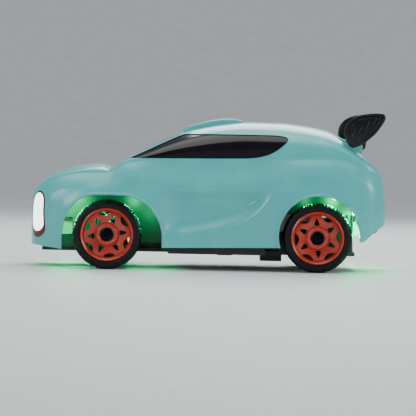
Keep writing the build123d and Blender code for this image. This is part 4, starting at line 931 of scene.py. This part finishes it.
def wing_blade(name, chord, thickness, tilt, at, node):
    """A wing plane: a cambered section with a round nose, drawn across the car."""
    outline = []
    for k in range(24):
        a = 2 * math.pi * k / 24
        y = chord / 2 * math.cos(a)
        z = thickness / 2 * math.sin(a) * (1.15 - 0.7 * y / chord) - 0.5 * (1 - (2 * y / chord) ** 2)
        t = math.radians(tilt)
        outline.append((at[0] + y * math.cos(t) - z * math.sin(t), at[1] + y * math.sin(t) + z * math.cos(t)))
    piece = plate(name, outline, -WING_HALF_SPAN, WING_HALF_SPAN)
    return finish(piece, black_abs, "bodyshell", [node], angle=60)


WING_Y, WING_Z = tail(11.0), ROOF_Z - 2.2
wing_blade("wing_lower_plane", 12.0, 1.7, 8.0, (WING_Y - 1.0, WING_Z), "wing_main_plane")
wing_blade("wing_top_flap", 8.0, 1.4, 24.0, (WING_Y + 5.2, WING_Z + 4.0), "wing_upper_flap")
stand_outline = rounded(
    [
        (WING_Y - 4.6, WING_Z - 0.7), (WING_Y + 2.2, WING_Z + 0.1), (WING_Y + 1.2, WING_Z - 11),
        (WING_Y - 7.2, WING_Z - 9),
    ],
    1,
)
stands = [plate("stand", stand_outline, x - 0.8, x + 0.8, "X", 0.3, 2) for x in (-14.0, 14.0)]
finish(join("wing_stand_pair", stands), black_abs, "bodyshell", ["wing_stands"])

# ---------------------------------------------------------------- wheels
LENS_REACH, LENS_DEPTH, LENS_ANGLE = 10.65, 2.1, 17.0


def polar(radius, degrees):
    return radius * math.cos(math.radians(degrees)), radius * math.sin(math.radians(degrees))


def openings(turn):
    """Outlines of the six lens-shaped and six triangular openings of one wheel."""
    outlines = []
    for k in range(6):
        at = turn + 60 * k
        triangle = [polar(6.05, at - 15), polar(9.2, at - 2), polar(9.2, at + 2), polar(6.05, at + 15)]
        outlines.append(rounded(triangle, 2))
        lens = [polar(LENS_REACH, at + 30 + LENS_ANGLE * (1 - 2 * j / 8)) for j in range(9)]
        for j in range(1, 8):
            share = j / 8
            dip = LENS_DEPTH * math.sin(math.pi * share) ** 0.8
            lens.append(polar(LENS_REACH - dip, at + 30 + LENS_ANGLE * (2 * share - 1)))
        outlines.append(rounded(lens, 1))
    return outlines


def dish_wheel(name, centre_y, turn):
    """Left-hand wheel: lipped barrel, dished web with twelve openings, raised hub ring."""
    inner_face = OUTER_FACE - 10
    at = (centre_y, HUB_Z)
    barrel = lathe(
        "barrel",
        [
            (OUTER_FACE - 0.05, RIM_RADIUS - 0.2), (OUTER_FACE - 0.9, RIM_RADIUS),
            (OUTER_FACE - 0.95, RIM_RADIUS - 0.9), (inner_face + 0.95, RIM_RADIUS - 0.9),
            (inner_face + 0.9, RIM_RADIUS), (inner_face, RIM_RADIUS - 0.1),
            (inner_face, RIM_RADIUS - 1.8), (OUTER_FACE - 4.0, RIM_RADIUS - 1.9),
            (OUTER_FACE - 1.7, RIM_RADIUS - 1.75), (OUTER_FACE - 0.7, RIM_RADIUS - 1.5),
            (OUTER_FACE - 0.1, RIM_RADIUS - 1.1), (OUTER_FACE + 0.15, RIM_RADIUS - 0.65),
        ],
        96, at,
    )
    web = lathe(
        "web",
        [
            (OUTER_FACE - 1.5, RIM_RADIUS - 1.3), (OUTER_FACE - 3.9, RIM_RADIUS - 1.3),
            (OUTER_FACE - 4.1, 8.0), (OUTER_FACE - 4.2, 3.2), (OUTER_FACE - 1.9, 3.2),
            (OUTER_FACE - 1.95, 5.6), (OUTER_FACE - 1.35, 7.4), (OUTER_FACE - 1.15, 9.3),
        ],
        96, at,
    )
    for outline in openings(turn):
        moved = [(centre_y + y, HUB_Z + z) for y, z in outline]
        cut(web, plate("opening", moved, OUTER_FACE - 6, OUTER_FACE + 2))
    modify(web, "BEVEL", width=0.45 * MM, segments=3, limit_method="ANGLE", angle_limit=math.radians(40))
    hub = lathe(
        "hub",
        [
            (OUTER_FACE - 9.4, 3.1), (OUTER_FACE - 9.4, 4.6), (OUTER_FACE - 2.2, 5.0),
            (OUTER_FACE - 1.2, 5.3), (OUTER_FACE - 0.75, 5.15), (OUTER_FACE - 0.45, 4.75),
            (OUTER_FACE - 0.4, 4.2), (OUTER_FACE - 0.5, 3.75), (OUTER_FACE - 0.8, 3.45),
            (OUTER_FACE - 2.3, 3.4), (OUTER_FACE - 2.4, 3.1),
        ],
        64, at,
    )
    return join(name, [barrel, web, hub])


TREAD_STEPS = 240
TYRE_MIDDLE = OUTER_FACE - 5.0


def treaded_tyre(name, centre_y):
    """Left-hand tyre: rounded shoulders, two ring grooves and rows of small tread blocks."""
    outside = [
        (4.1, RIM_RADIUS - 0.85), (4.1, RIM_RADIUS + 0.1), (4.85, RIM_RADIUS + 0.15),
        (5.0, TYRE_RADIUS - 3.0), (5.12, TYRE_RADIUS - 2.2), (4.95, TYRE_RADIUS - 1.5),
        (4.6, TYRE_RADIUS - 0.95), (4.15, TYRE_RADIUS - 0.5), (3.6, TYRE_RADIUS - 0.2),
        (2.9, TYRE_RADIUS - 0.05), (2.0, TYRE_RADIUS), (1.9, TYRE_RADIUS - 0.6),
        (1.3, TYRE_RADIUS - 0.6), (1.2, TYRE_RADIUS),
    ]
    profile = [(TYRE_MIDDLE + x, r) for x, r in outside]
    profile += [(TYRE_MIDDLE - x, r) for x, r in reversed(outside)]
    tyre = lathe(name, profile, TREAD_STEPS, (centre_y, HUB_Z))
    for vertex in tyre.data.vertices:
        y, z = vertex.co.y / MM - centre_y, vertex.co.z / MM - HUB_Z
        radius = math.hypot(y, z)
        across = abs(vertex.co.x / MM - TYRE_MIDDLE)
        step = round(math.degrees(math.atan2(z, y)) * TREAD_STEPS / 360) % TREAD_STEPS
        groove = 0.0
        if radius > TYRE_RADIUS - 0.8 and across > 2.5 and step % 4 == 0:
            groove = 0.55
        if radius > TYRE_RADIUS - 0.1 and across < 2.5 and step % 6 == 3:
            groove = 0.4
        share = (radius - groove) / radius
        vertex.co.y, vertex.co.z = (centre_y + y * share) * MM, (HUB_Z + z * share) * MM
    return tyre


def hex_screw(name, centre_y):
    """Left-hand wheel screw: round-edged cap with a hexagonal socket."""
    seat = OUTER_FACE - 2.4
    screw = lathe(
        name,
        [
            (seat - 4.9, 0.02), (seat - 4.9, 0.95), (seat + 0.05, 0.95), (seat + 0.05, 2.9),
            (seat + 1.0, 2.95), (seat + 1.3, 2.8), (seat + 1.45, 2.5), (seat + 1.45, 0.02),
        ],
        48, (centre_y, HUB_Z),
    )
    cut(screw, plate("socket", circle((centre_y, HUB_Z), 1.35, 6), seat + 0.4, seat + 3))
    return screw


front_cap, rear_cap = hex_screw("front_cap_left", FRONT_Y), hex_screw("rear_cap_left", REAR_Y)
front_twin, rear_twin = twin(front_cap, "front_cap_right"), twin(rear_cap, "rear_cap_right")
finish(front_cap, black_screw, "front_upright_left", ["front_screw_left"])
finish(front_twin, black_screw, "front_upright_right", ["front_screw_right"])
finish(join("rear_caps", [rear_cap, rear_twin]), black_screw, "rear_drive", ["rear_screws"])

for end, centre_y, turn in (("front", FRONT_Y, 7.0), ("rear", REAR_Y, 34.0)):
    wheel, tyre = dish_wheel(f"{end}_dish_left", centre_y, turn), treaded_tyre(f"{end}_tread_left", centre_y)
    wheel_twin, tyre_twin = twin(wheel, f"{end}_dish_right"), twin(tyre, f"{end}_tread_right")
    for disc, ring, side_name in ((wheel, tyre, "left"), (wheel_twin, tyre_twin, "right")):
        moving = f"front_wheel_{side_name}" if end == "front" else "rear_drive"
        finish(disc, orange_nylon, moving, [f"{end}_rim_{side_name}"])
        finish(ring, tyre_rubber, moving, [f"{end}_tyre_{side_name}"], angle=30)

# ---------------------------------------------------------------- chassis pieces kept from the frame
painted = {
    filled_nylon: ["chassis_tub", "front_deck", "motor_mount"],
    black_trim_and_well_shade: ["rear_diffuser"],
    black_screw: ["deck_screws"],
    ground_steel: ["kingpins", "front_spring_left", "front_spring_right"],
    turned_steel: [
        "rear_bearings", "front_bearings_left", "front_bearings_right", "rear_axle", "motor_pinion",
    ],
    drawn_steel: ["motor_can"],
    magnet: ["shell_magnets", "post_magnets"],
    foam: ["front_bumper"],
    board: ["headlight_board", "glow_boards", "control_board"],
    battery_wrap: ["battery_pack"],
    servo_case: ["steering_servo", "switch_housing"],
    white_acetal: ["servo_horn", "spur_gear"],
    black_acetal: ["tie_rod", "spring_seat_left", "spring_seat_right", "knuckle_left", "knuckle_right"],
    switch_abs: ["switch_knob"],
}
for material, names in painted.items():
    for name in names:
        nodes[name].data.materials.clear()
        nodes[name].data.materials.append(material)

# Lit diodes on the glow boards, and the light that they throw into the arches.
DIODE = (3.2, 2.4, 1.2)


def diode(name, centre, size):
    """A small domed light block."""
    bpy.ops.mesh.primitive_cube_add(size=1)
    piece = active()
    piece.name = piece.data.name = name
    for vertex in piece.data.vertices:
        vertex.co = Vector([c + v * s for c, v, s in zip(centre, vertex.co, size)]) * MM
    piece.location = (0, 0, 0)
    modify(piece, "BEVEL", width=0.25 * MM, segments=3)
    return finish(piece, green_diode, "chassis")


for side_name, side in SIDES.items():
    for place, y in (("ahead", -2.0), ("behind", 2.0)):
        diode(f"front_diode_{side_name}_{place}", (side * 6.0, FRONT_Y + y, 29.6), DIODE)
    diode(f"rear_diode_{side_name}", (side * 12.0, REAR_Y + 14.5, 14.9), DIODE)
    for x, y, z, power in (
        (27.0, FRONT_Y - 18.5, 26.0, 0.045), (24.0, FRONT_Y - 14.0, 31.8, 0.04),
        (27.0, FRONT_Y + 20.0, 26.0, 0.02), (22.0, FRONT_Y + 12.0, 32.0, 0.02),
        (29.5, REAR_Y + 15.0, 26.3, 0.035), (29.5, REAR_Y + 7.0, 33.2, 0.028),
        (29.5, REAR_Y - 6.0, 33.6, 0.008), (26.0, REAR_Y + 17.0, 17.0, 0.02),
    ):
        bpy.ops.object.light_add(type="POINT", location=Vector((side * x, y, z)) * MM)
        glow = active()
        glow.name = f"glow {side_name} {y:.0f}"
        glow.data.energy = power
        glow.data.color = linear("00E884")[:3]
        glow.data.shadow_soft_size = 0.8 * MM
        glow.visible_camera = False
